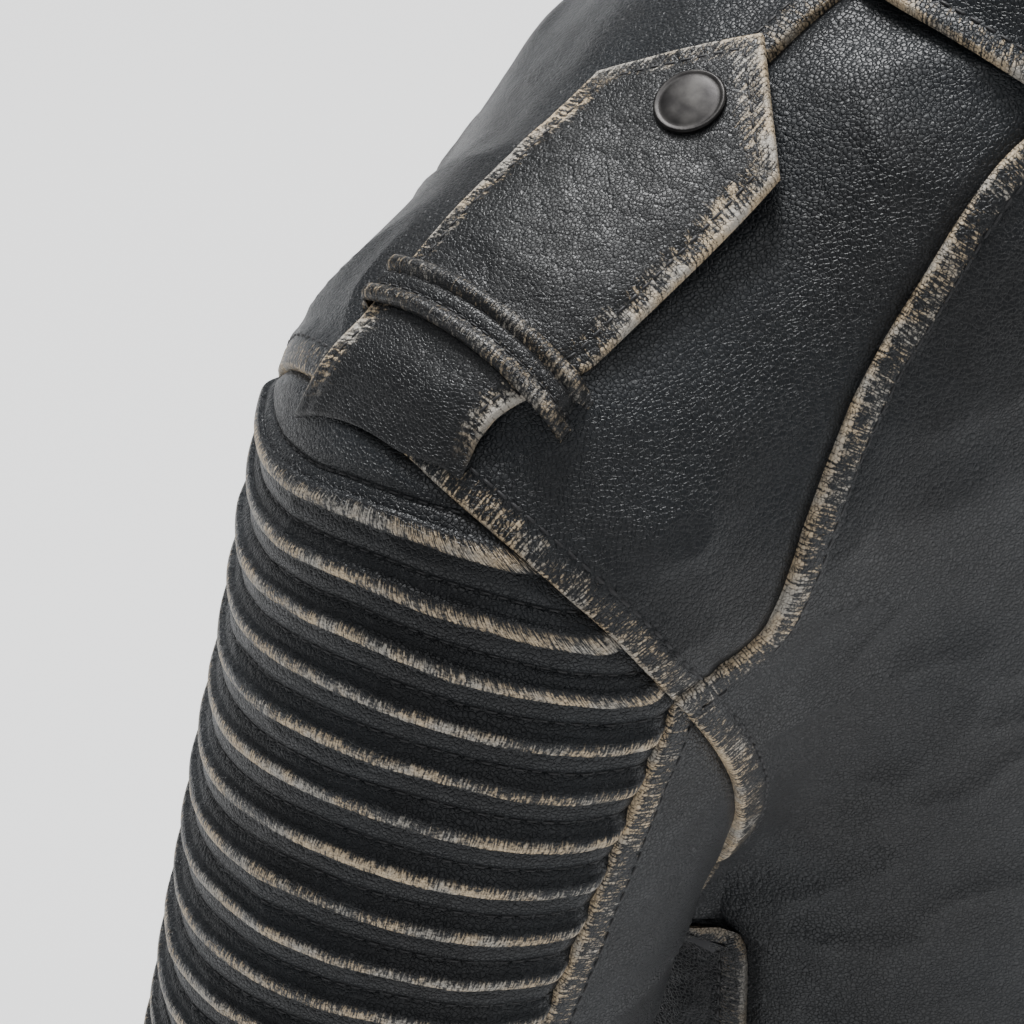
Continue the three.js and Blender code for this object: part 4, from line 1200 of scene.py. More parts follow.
@dataclass(frozen=True)
class Ribs:
    """Padded pleats that cross the sleeve between planes, each lapping over the next one down."""

    centre: tuple[float, float, float] = (215.0, -40.0, 480.0)
    slopes: tuple[float, ...] = (5.219, -0.444, 2.127, -8.194, -2.865, -2.649, -1.08, 2.504, 0.487, 3.453)
    first: float = -0.45
    crest_end: float = 0.33
    step: float = 0.015
    flat_at: float = 0.56
    groove_at: float = 0.775
    above: float = 1.2

    def count(self, p: Array) -> Array:
        """How many ribs down a place is: a quadratic of it, in decimetres from a centre, that bows the ribs.

        Args:
            p: Points with x never negative.

        Returns:
            Rib numbers with their fractions.
        """
        x, y, z = np.moveaxis((p - np.array(self.centre)) / 100.0, -1, 0)
        terms = np.stack([np.ones_like(x), x, y, z, x * y, y * y, y * z, x * z, z * z, x * x], -1)
        return terms @ np.array(self.slopes)

    def height(self, count: Array) -> Array:
        """Cross-section of a rib: a crest, a sharp drop, a flat band, a stitched groove and a padded flank.

        Args:
            count: Rib numbers.

        Returns:
            Heights above the panel's base, in millimetres.
        """
        f = count - np.floor(count)
        roll = 1.5 + 1.45 * np.sqrt(np.clip(1.0 - ((f - 0.15) / 0.185) ** 2, 0.0, 1.0))
        stepped = smooth(self.crest_end - self.step, self.crest_end + self.step, f)
        crest = (1.0 - stepped) * roll
        flat = stepped * (0.75 + 0.35 * bell(f, self.flat_at, 0.12))
        groove = 0.75 * bell(f, self.groove_at, 0.04)
        flank = 0.85 * smooth(self.groove_at + self.step, 1.0, f)
        ribbed = crest + flat - groove + flank
        started = smooth(self.first - 0.1, self.first + 0.1, count)
        return self.above + (ribbed - self.above) * started


RIBS = Ribs()


@dataclass
class Panel:
    """One cut piece of leather: a patch of the form between seams, finished by its relief."""

    name: str
    size: tuple[float, float]
    grid: Callable[[Array, Array], Array]
    region: Region
    seams: tuple[SeamSide, ...]
    seed: int
    spacing: float = 1.9
    whole: bool = False
    ribs: Ribs | None = None
    slack: float = 1.0
    thickness: float = 1.4
    thread: list[Skin] = field(default_factory=list)

    def surface(self) -> tuple[Array, Array, Relief]:
        """Base points, normals and relief on the panel's graded grid of the left half.

        Returns:
            Grid of points, grid of normals and the relief.
        """
        across = 1.25 if self.ribs else self.spacing
        down = 0.58 if self.ribs else self.spacing
        u, v = graded(self.size[0], across), graded(self.size[1], down)
        points = self.grid(u, v)
        normals = FORM.normal(points, self.region)
        relief = relief_of(points, normals, self.seams, self.seed)
        if self.ribs:
            edge = np.min([d for d, _ in relief.distances], axis=0)
            count = self.ribs.count(points)
            waver = 0.05 * ripple(points, 26.0, 5) + 0.02 * ripple(points, 9.0, 6)
            count = count + waver * smooth(2.0, 14.0, edge)
            swell = 1.0 + 0.10 * ripple(points, (18.0, 18.0, 7.0), 7)
            relief.height = relief.height + self.ribs.height(count) * swell * smooth(-1.0, 3.5, edge)
            relief.values["rib"] = count
            relief.values["round_mm"] = np.broadcast_to(u * self.size[0], points.shape[:2]).copy()
        return points, normals, relief

    def drape(self, points: Array, edge: Array) -> Array:
        """Slack of the leather: broad swells, and creases where ridged noise runs thin, calm near the seams.

        Args:
            points: Real places, on either side.
            edge: Distance to the nearest seam.

        Returns:
            Heights in millimetres.
        """
        broad = 1.5 * ripple(points, (70.0, 60.0, 46.0), self.seed, 2)
        ridge = 1.0 - np.abs(ripple(points, (60.0, 42.0, 24.0), self.seed + 3, 2))
        fine = 0.16 * ripple(points, (9.0, 9.0, 6.0), self.seed + 5, 2)
        calm = 0.25 + 0.75 * smooth(2.0, 22.0, edge)
        strength = 0.35 if self.ribs else 1.0
        return self.slack * strength * calm * (broad + 1.4 * ridge**4 - 0.5) + fine * strength

    def skins(self, sign: float) -> Skin:
        """The panel on one side, with its rows of stitches kept aside in thread.

        Args:
            sign: 1 for the left, -1 for the right.

        Returns:
            The closed skin.
        """
        points, normals, relief = self.surface()
        edge = np.min([d for d, _ in relief.distances], axis=0)
        if self.whole:
            points, normals, edge, relief = self.doubled(points, normals, edge, relief)
            sign = 1.0
        shift = relief.shift
        height = relief.height + self.drape(flipped(points, sign), edge)
        outer = points + shift + normals * height[..., None]
        inner = outer - normals * self.thickness
        self.stitch(outer, normals, relief, sign)
        return closed_sheet(outer, inner, relief.values).mirrored(sign)

    def doubled(
        self, points: Array, normals: Array, edge: Array, relief: Relief
    ) -> tuple[Array, Array, Array, Relief]:
        """Both halves of a panel that crosses the middle, joined on its last column.

        Args:
            points: Left half.
            normals: Their directions.
            edge: Distance to the nearest seam.
            relief: The left half's relief.

        Returns:
            The same four for the whole panel.
        """
        def both(a: Array) -> Array:
            """A grid followed by its mirror image."""
            other = a[:, -2::-1]
            return np.concatenate([a, other if a.ndim == 2 else flipped(other, -1.0)], 1)

        values = {key: both(value) for key, value in relief.values.items()}
        distances = [(both(d), both(s)) for d, s in relief.distances]
        full = Relief(both(relief.shift), both(relief.height), values, distances)
        return both(points), both(normals), both(edge), full

    def stitch(self, outer: Array, normals: Array, relief: Relief, sign: float) -> None:
        """Lays stitches along each seam's rows, and along the ribs' grooves.

        Args:
            outer: Finished surface grid.
            normals: Directions.
            relief: The panel's relief.
            sign: Side of the body.
        """
        edge = np.stack([d for d, _ in relief.distances])
        for k, seam in enumerate(self.seams):
            d, along = relief.distances[k]
            others = np.delete(edge, k, axis=0)
            length = seam.edge.span_mm
            keep = (along > 0.5) & (along < length - 0.5)
            if len(others):
                keep &= others.min(0) > 1.6
            borders = [seam.border] + [Border.RIGHT] * (self.whole and seam.border is Border.LEFT)
            for row, border in itertools.product(seam.stitches, borders):
                line, out = contour(outer, normals, d, row, border, keep)
                if len(line) > 4:
                    self.thread.append(stitch_row(line, out).mirrored(sign))
        if self.ribs is None:
            return
        count, keep = relief.values["rib"], edge.min(0) > 1.2
        for k in range(-1, int(np.floor(count.max())) + 1):
            line, out = contour(outer, normals, count, k + 0.775, Border.BOTTOM, keep)
            if len(line) > 6:
                self.thread.append(stitch_row(line, out, 3.4, 2.5, 0.34).mirrored(sign))


def torso_panels() -> list[Panel]:
    """The torso's cut pieces.

    Returns:
        Front panel, front yoke, side panel, back panel and back yoke, for the left half.
    """
    p = PATTERN
    yoke_down = p.yoke_seam.back()
    front_top, front_side = Edge.chain(p.neck_front, yoke_down), Edge.chain(p.side_front, p.arm_front.back())
    front = (p.hem_front, front_top, p.zip_line, front_side)
    yoke = (yoke_down, p.shoulder_seam, p.neck_yoke, p.arm_top_front.back())
    side = (p.hem_side, p.arm_bottom, p.side_front, p.side_back)

    def patch(edges: tuple[Edge, Edge, Edge, Edge], region: Region, level: bool) -> Callable[[Array, Array], Array]:
        """A grid function of the two parameters."""
        return lambda u, v: torso_patch(edges, u, v, region, level)

    z = p.back_seam.rows[-1][2] * span(11)
    middle = FORM.settle(np.stack([0 * z, np.full_like(z, FORM.back), z], -1), Region.BODY, True)
    middle[0], middle[-1] = p.hem_back.rows[-1], p.back_seam.rows[-1]
    back = (p.hem_back, p.back_seam, Edge.chain(p.side_back, p.arm_back), Edge(middle))
    t = span(5)[:, None]
    top = p.back_seam.rows[-1] * (1 - t) + p.neck_back.rows[-1] * t
    top[1:-1] = FORM.settle(top[1:-1], Region.WHOLE)
    back_yoke = (p.back_seam, Edge.chain(p.shoulder_seam.back(), p.neck_back), p.arm_top_back, Edge(top))
    b, o, un, h, c = Border, Fold.OVER, Fold.UNDER, Fold.HEM, Fold.CAUGHT
    return [
        Panel(
            "front_panel", (165.0, 560.0), patch(front, Region.BODY, True), Region.BODY,
            (
                SeamSide(p.hem_front, b.BOTTOM, h, 0.7, (25.0,), 3.0),
                SeamSide(p.neck_front, b.TOP, c),
                SeamSide(p.yoke_seam, b.TOP, o, 1.0, (5.4,), 5.6),
                SeamSide(p.zip_line, b.LEFT, h, 0.8, (6.0,), 7.5),
                SeamSide(p.side_front, b.RIGHT, un),
                SeamSide(p.arm_front, b.RIGHT, o, 1.0, (6.2,), 8.6),
            ),
            11,
        ),
        Panel(
            "front_yoke", (120.0, 140.0), patch(yoke, Region.WHOLE, False), Region.WHOLE,
            (
                SeamSide(p.yoke_seam, b.BOTTOM, un),
                SeamSide(p.shoulder_seam, b.TOP, un),
                SeamSide(p.neck_yoke, b.LEFT, c),
                SeamSide(p.arm_top_front, b.RIGHT, o, 1.0, (6.2,), 8.8),
            ),
            23, 1.2, slack=1.5,
        ),
        Panel(
            "side_panel", (120.0, 385.0), patch(side, Region.BODY, True), Region.BODY,
            (
                SeamSide(p.hem_side, b.BOTTOM, h, 0.7, (25.0,), 3.0),
                SeamSide(p.arm_bottom, b.TOP, o, 0.0, (6.2,)),
                SeamSide(p.side_front, b.LEFT, o, 0.35, (5.4,), 6.5),
                SeamSide(p.side_back, b.RIGHT, un),
            ),
            37,
        ),
        Panel(
            "back_panel", (190.0, 470.0), patch(back, Region.BODY, True), Region.BODY,
            (
                SeamSide(p.hem_back, b.BOTTOM, h, 0.7, (25.0,), 3.0),
                SeamSide(p.back_seam, b.TOP, un),
                SeamSide(p.side_back, b.LEFT, o, 0.7, (5.4,), 6.5),
                SeamSide(p.arm_back, b.LEFT, o, 0.8, (6.2,)),
            ),
            41, 2.3, True,
        ),
        Panel(
            "back_yoke", (190.0, 130.0), patch(back_yoke, Region.WHOLE, False), Region.WHOLE,
            (
                SeamSide(p.back_seam, b.BOTTOM, o, 1.0, (5.4,), 6.5),
                SeamSide(p.shoulder_seam, b.TOP, o, 0.6, (5.0,), 6.5),
                SeamSide(p.neck_back, b.TOP, c),
                SeamSide(p.arm_top_back, b.LEFT, o, 1.0, (6.2,), 8.6),
            ),
            53, 1.9, True,
        ),
    ]


def sleeve_panels() -> list[Panel]:
    """The sleeve's cut pieces.

    Returns:
        Rib panel, forearm panel and under sleeve, for the left arm.
    """
    p, s = PATTERN, SLEEVE
    b, o, un, h = Border, Fold.OVER, Fold.UNDER, Fold.HEM

    def patch(top: Edge, bottom: Edge, left: Edge, right: Edge) -> Callable[[Array, Array], Array]:
        """A grid function of the two parameters."""
        return lambda u, v: s.patch(top, bottom, left, right, u, v)

    def only(edge: Edge) -> Edge:
        """A sleeve seam's places."""
        return Edge(edge.points)

    return [
        Panel(
            "sleeve_rib_panel", (150.0, 330.0), patch(s.head, s.elbow, s.rib_back, s.rib_front), Region.ARM,
            (
                SeamSide(p.arm_top_front, b.RIGHT, un),
                SeamSide(p.arm_top_back, b.LEFT, un),
                SeamSide(only(s.front_upper), b.RIGHT, un),
                SeamSide(only(s.back_upper), b.LEFT, un),
                SeamSide(only(s.elbow), b.TOP, un),
            ),
            61, ribs=RIBS,
        ),
        Panel(
            "sleeve_forearm_panel", (150.0, 318.0), patch(s.elbow, s.cuff, s.back_lower, s.front_lower), Region.ARM,
            (
                SeamSide(only(s.elbow), b.BOTTOM, o, 1.0, (5.4,), 7.0),
                SeamSide(only(s.back_lower), b.LEFT, un),
                SeamSide(only(s.front_lower), b.RIGHT, un),
                SeamSide(only(s.cuff), b.TOP, h, 1.0, (7.0,)),
            ),
            67,
        ),
        Panel(
            "under_sleeve", (175.0, 560.0),
            patch(s.under_top, s.under_cuff, s.under_front, s.under_back), Region.ARM,
            (
                SeamSide(Edge.chain(p.arm_front, p.arm_bottom, p.arm_back), b.BOTTOM, un),
                SeamSide(only(s.under_cuff), b.TOP, h, 1.0, (7.0,)),
                SeamSide(Edge(s.under_front.points), b.LEFT, o, 1.0, (5.6,), 7.0),
                SeamSide(Edge(s.under_back.points), b.RIGHT, o, 1.0, (5.6,), 7.0),
            ),
            71, 2.1,
        ),
    ]


# ---- finishes ----
class Signal:
    """A socket's value in a node tree, with arithmetic that adds Math nodes."""

    def __init__(self, tree: "Recipe", socket: bpy.types.NodeSocket) -> None:
        """Wraps a socket of a recipe's tree."""
        self.tree = tree
        self.socket = socket

    def _math(self, operation: str, *values: "Signal | float") -> "Signal":
        """A Math node on values."""
        return self.tree.node("ShaderNodeMath", {"operation": operation}, dict(enumerate(values)))

    def __add__(self, other: "Signal | float") -> "Signal":
        """Sum."""
        return self._math("ADD", self, other)

    def __radd__(self, other: float) -> "Signal":
        """Sum with a number on the left."""
        return self._math("ADD", other, self)

    def __sub__(self, other: "Signal | float") -> "Signal":
        """Difference."""
        return self._math("SUBTRACT", self, other)

    def __rsub__(self, other: float) -> "Signal":
        """Difference from a number."""
        return self._math("SUBTRACT", other, self)

    def __mul__(self, other: "Signal | float") -> "Signal":
        """Product."""
        return self._math("MULTIPLY", self, other)

    def __rmul__(self, other: float) -> "Signal":
        """Product with a number on the left."""
        return self._math("MULTIPLY", other, self)

    def __pow__(self, other: float) -> "Signal":
        """Power."""
        return self._math("POWER", self, other)

    def fraction(self) -> "Signal":
        """Part after the decimal point."""
        return self._math("FRACT", self)

    def least(self, other: "Signal | float") -> "Signal":
        """Lesser of two."""
        return self._math("MINIMUM", self, other)

    def most(self, other: "Signal | float") -> "Signal":
        """Greater of two."""
        return self._math("MAXIMUM", self, other)

    def between(self, low: float, high: float) -> "Signal":
        """Ease from 0 at low to 1 at high, or the other way where low is the greater.

        Args:
            low: Value that gives 0.
            high: Value that gives 1.

        Returns:
            The eased value.
        """
        settings = {"interpolation_type": "SMOOTHSTEP"}
        ends = (low, high, 0.0, 1.0) if low < high else (high, low, 1.0, 0.0)
        inputs = {"Value": self, "From Min": ends[0], "From Max": ends[1], "To Min": ends[2], "To Max": ends[3]}
        return self.tree.node("ShaderNodeMapRange", settings, inputs)


class Recipe:
    """A material's node tree and the one way nodes are made in it."""

    def __init__(self, name: str) -> None:
        """Starts an empty material."""
        self.material = bpy.data.materials.new(name)
        self.material.use_nodes = True
        self.nodes = self.material.node_tree.nodes
        self.links = self.material.node_tree.links
        self.nodes.clear()

    def node(self, kind: str, settings: dict, inputs: dict, output: int | str = 0) -> Signal:
        """Makes a node: its settings first, then the values or links of its sockets.

        Args:
            kind: Blender's node type.
            settings: Properties to set on it.
            inputs: Socket name or number to value or signal.
            output: Which output to return.

        Returns:
            The output's signal.
        """
        made = self.nodes.new(kind)
        for key, value in settings.items():
            setattr(made, key, value)
        for key, value in inputs.items():
            socket = made.inputs[key]
            if isinstance(value, Signal):
                self.links.new(value.socket, socket)
            else:
                socket.default_value = value
        return Signal(self, made.outputs[output] if made.outputs else made.inputs[0])

    def place(self) -> Signal:
        """Object coordinates in metres."""
        return self.node("ShaderNodeTexCoord", {}, {}, "Object")

    def value(self, name: str) -> Signal:
        """A value stored on the mesh."""
        return self.node("ShaderNodeAttribute", {"attribute_name": name}, {}, "Fac")

    def vector(self, x: Signal | float, y: Signal | float, z: Signal | float = 0.0) -> Signal:
        """A vector from three numbers."""
        return self.node("ShaderNodeCombineXYZ", {}, {0: x, 1: y, 2: z})

    def stretched(self, place: Signal, scale: tuple[float, float, float]) -> Signal:
        """A place scaled along each axis."""
        return self.node("ShaderNodeVectorMath", {"operation": "MULTIPLY"}, {0: place, 1: scale})

    def shifted(self, place: Signal, by: Signal, amount: float) -> Signal:
        """A place pushed about by a colour, amount times its difference from grey.

        Args:
            place: Where.
            by: A noise colour.
            amount: How far.

        Returns:
            The pushed place.
        """
        centred = self.node("ShaderNodeVectorMath", {"operation": "SUBTRACT"}, {0: by, 1: (0.5, 0.5, 0.5)})
        scaled = self.node("ShaderNodeVectorMath", {"operation": "SCALE"}, {0: centred, "Scale": amount})
        return self.node("ShaderNodeVectorMath", {"operation": "ADD"}, {0: place, 1: scaled})

    def noise(self, place: Signal, scale: float, detail: float = 2.0, output: str = "Fac") -> Signal:
        """Noise from 0 to 1, or its colour."""
        return self.node("ShaderNodeTexNoise", {}, {"Vector": place, "Scale": scale, "Detail": detail}, output)

    def cells(self, place: Signal, scale: float, feature: str = "F1", output: str = "Distance") -> Signal:
        """Cell pattern: distance to the nearest point, or to the border between cells."""
        return self.node("ShaderNodeTexVoronoi", {"feature": feature}, {"Vector": place, "Scale": scale}, output)

    def blend(self, share: Signal | float, first: Signal | tuple, second: Signal | tuple) -> Signal:
        """Colour between two colours."""
        ends = {6 + k: end if isinstance(end, Signal) else (*end, 1.0) for k, end in enumerate((first, second))}
        return self.node("ShaderNodeMix", {"data_type": "RGBA"}, {0: share, **ends}, 2)

    def bump(self, height: Signal, distance: float, strength: float = 1.0, under: Signal | None = None) -> Signal:
        """Normal bent by a height, distance in metres for a height of one.

        Args:
            height: Height from 0 to 1.
            distance: Metres for a height of one.
            strength: Share of the bend.
            under: Normal that it adds to.

        Returns:
            The normal.
        """
        inputs: dict = {"Height": height, "Distance": distance, "Strength": strength}
        if under is not None:
            inputs["Normal"] = under
        return self.node("ShaderNodeBump", {}, inputs)

    def finish(
        self, color: Signal | tuple, rough: Signal | float, normal: Signal | None, **fixed: float
    ) -> bpy.types.Material:
        """Joins everything in the surface shader.

        Args:
            color: Base colour.
            rough: Roughness.
            normal: Bent normal.
            fixed: Numbers for other sockets, with _ for a space.

        Returns:
            The material.
        """
        inputs: dict = {"Base Color": color if isinstance(color, Signal) else (*color, 1.0), "Roughness": rough}
        if normal is not None:
            inputs["Normal"] = normal
        inputs.update({key.replace("_", " "): value for key, value in fixed.items()})
        shader = self.node("ShaderNodeBsdfPrincipled", {}, inputs)
        self.node("ShaderNodeOutputMaterial", {}, {"Surface": shader})
        return self.material


@dataclass(frozen=True)
class LeatherFinish:
    """Pebbled leather whose dye has rubbed off along turned edges."""

    name: str
    dark: tuple[float, float, float] = (0.0035, 0.0042, 0.0055)
    light: tuple[float, float, float] = (0.009, 0.011, 0.0135)
    worn: tuple[float, float, float] = (0.56, 0.44, 0.29)
    ash: tuple[float, float, float] = (0.42, 0.39, 0.34)
    roughness: float = 0.43
    grain: float = 1050.0
    grain_depth: float = 0.00029
    wear: float = 1.0
    ribbed: bool = False

    def material(self) -> bpy.types.Material:
        """Builds the finish.

        Returns:
            The material.
        """
        r = Recipe(self.name)
        place = r.place()
        warped = r.shifted(place, r.noise(place, 900.0, 2.0, "Color"), 0.0007)
        pebble = r.cells(warped, self.grain)
        crease = r.cells(warped, self.grain, "DISTANCE_TO_EDGE")
        broad = r.noise(place, 26.0, 3.0)
        patch = r.noise(place, 110.0, 4.0)
        wrinkle = r.cells(r.shifted(place, r.noise(place, 190.0, 3.0, "Color"), 0.006), 210.0, "DISTANCE_TO_EDGE")
        height = crease.between(0.0, 0.16) * 0.6 + (1.0 - pebble) * 0.4
        height = height * (0.55 + patch * 0.8)
        mask = self.rubbed(r, patch, crease)
        dye = r.blend(broad.between(0.3, 0.7), self.dark, self.light)
        bare = r.blend(patch.between(0.42, 0.62), self.worn, self.ash)
        color = r.blend(mask, dye, bare)
        rough = self.roughness + (patch - 0.5) * 0.16 + mask * 0.22
        normal = r.bump(wrinkle.between(0.0, 0.12), 0.00012, 0.5)
        normal = r.bump(height, self.grain_depth, 1.0, normal)
        return r.finish(color, rough, normal, Specular_IOR_Level=0.38)

    def rubbed(self, r: Recipe, patch: Signal, crease: Signal) -> Signal:
        """Where the dye is rubbed off: strongest on a turned edge, broken by patches and by fine grain across it.

        Args:
            r: The recipe.
            patch: Middling noise.
            crease: Distance to the nearest grain crease.

        Returns:
            Mask from 0 to 1.
        """
        edge, along, worn = r.value("edge_mm"), r.value("along_mm"), r.value("worn")
        grain = r.noise(r.vector(along * 1.7, edge * 0.35), 1.0, 3.0)
        drift = r.noise(r.vector(along * 0.055, edge * 0.05), 1.0, 3.0)
        rim = edge.between(2.4, 0.3)
        band = edge.between(8.0, 3.5) * 0.62
        amount = rim.most(band) * 0.9 + (drift - 0.5) * 1.1 + (grain - 0.5) * 2.0 + (patch - 0.5) * 0.5
        amount = amount + crease.between(0.2, 0.0) * -0.25
        mask = amount.between(0.42, 0.95) * edge.between(8.5, 5.0) * worn * self.wear
        if not self.ribbed:
            return mask.least(1.0)
        rib = r.value("rib")
        across = rib.fraction()
        crest = across.between(0.0, 0.09) * across.between(0.338, 0.31) * rib.between(-0.3, -0.2)
        sharp = across.between(0.06, 0.20) * across.between(0.335, 0.25)
        round_arm = r.value("round_mm")
        hair = r.noise(r.vector(round_arm * 2.6, across * 5.0, rib), 1.0, 3.0)
        swell = r.noise(r.vector(round_arm * 0.045, rib * 0.9), 1.0, 3.0)
        speck = r.noise(r.vector(round_arm * 1.1, across * 22.0, rib), 1.0, 2.0)
        amount = crest * 0.26 + sharp * 0.30 + (hair - 0.5) * 2.3 + (swell - 0.5) * 1.3 + (speck - 0.5) * 1.1
        return mask.most(amount.between(0.18, 0.92) * crest).least(1.0)


@dataclass(frozen=True)
class ClothFinish:
    """Woven or satin cloth: fine threads along two directions, a faint nap and a sheen."""

    name: str
    dark: tuple[float, float, float]
    light: tuple[float, float, float]
    thread: float
    roughness: float = 0.8
    depth: float = 0.00008
    sheen: float = 0.2

    def material(self) -> bpy.types.Material:
        """Builds the finish.

        Returns:
            The material.
        """
        r = Recipe(self.name)
        place = r.place()
        turned_place = r.node("ShaderNodeVectorRotate", {"rotation_type": "EULER_XYZ"}, {
            "Vector": place, "Rotation": (0.5, 0.4, 0.8),
        })
        tau = 2 * math.pi
        x, y, z = (r.node("ShaderNodeSeparateXYZ", {}, {0: turned_place}, k) for k in range(3))

        def wave(value: Signal) -> Signal:
            """Sine of a value in threads."""
            return r.node("ShaderNodeMath", {"operation": "SINE"}, {0: value * (self.thread * tau)})

        weave = wave(x + z * 0.3) * 0.5 + wave(y - z * 0.4) * 0.5
        nap = r.noise(place, 2600.0, 2.0)
        soft = r.noise(place, 40.0, 3.0)
        color = r.blend((weave * 0.25 + 0.5 + (soft - 0.5) * 0.8).between(0.1, 0.9), self.dark, self.light)
        rough = self.roughness + (nap - 0.5) * 0.12
        normal = r.bump(weave * 0.7 + nap * 0.5, self.depth)
        return r.finish(color, rough, normal, Sheen_Weight=self.sheen, Sheen_Roughness=0.4)


@dataclass(frozen=True)
class MetalFinish:
    """Plated metal with a satin or polished face, faint scratches and duller patches."""

    name: str
    dark: tuple[float, float, float]
    light: tuple[float, float, float]
    roughness: float = 0.3
    brushed: float = 0.3

    def material(self) -> bpy.types.Material:
        """Builds the finish.

        Returns:
            The material.
        """
        r = Recipe(self.name)
        place = r.place()
        cloud = r.noise(place, 220.0, 4.0)
        lines = r.noise(r.stretched(place, (9000.0, 900.0, 900.0)), 1.0, 3.0)
        speck = r.noise(place, 2400.0, 3.0)
        color = r.blend(cloud.between(0.3, 0.75), self.dark, self.light)
        rough = self.roughness + (cloud - 0.5) * 0.22 + (lines - 0.5) * self.brushed
        normal = r.bump(lines * 0.6 + speck * 0.4, 0.00001, 0.5)
        return r.finish(color, rough, normal, Metallic=1.0)


@dataclass(frozen=True)
class ThreadFinish:
    """Waxed black thread with a fine twist."""

    name: str = "thread"

    def material(self) -> bpy.types.Material:
        """Builds the finish.

        Returns:
            The material.
        """
        r = Recipe(self.name)
        place = r.place()
        twist = r.noise(r.stretched(place, (2800.0, 2800.0, 5200.0)), 1.0, 2.0)
        color = r.blend(twist, (0.007, 0.007, 0.008), (0.024, 0.024, 0.026))
        return r.finish(color, 0.6 + (twist - 0.5) * 0.2, r.bump(twist, 0.00006))


# ---- shoulder straps ----
def rounded_top(distance: Array, radius: float) -> Array:
    """Drop of a surface as it rolls over an edge, a quarter round of the radius."""
    return radius * (1.0 - np.sqrt(1.0 - np.clip(1.0 - distance / radius, 0.0, 1.0) ** 2))


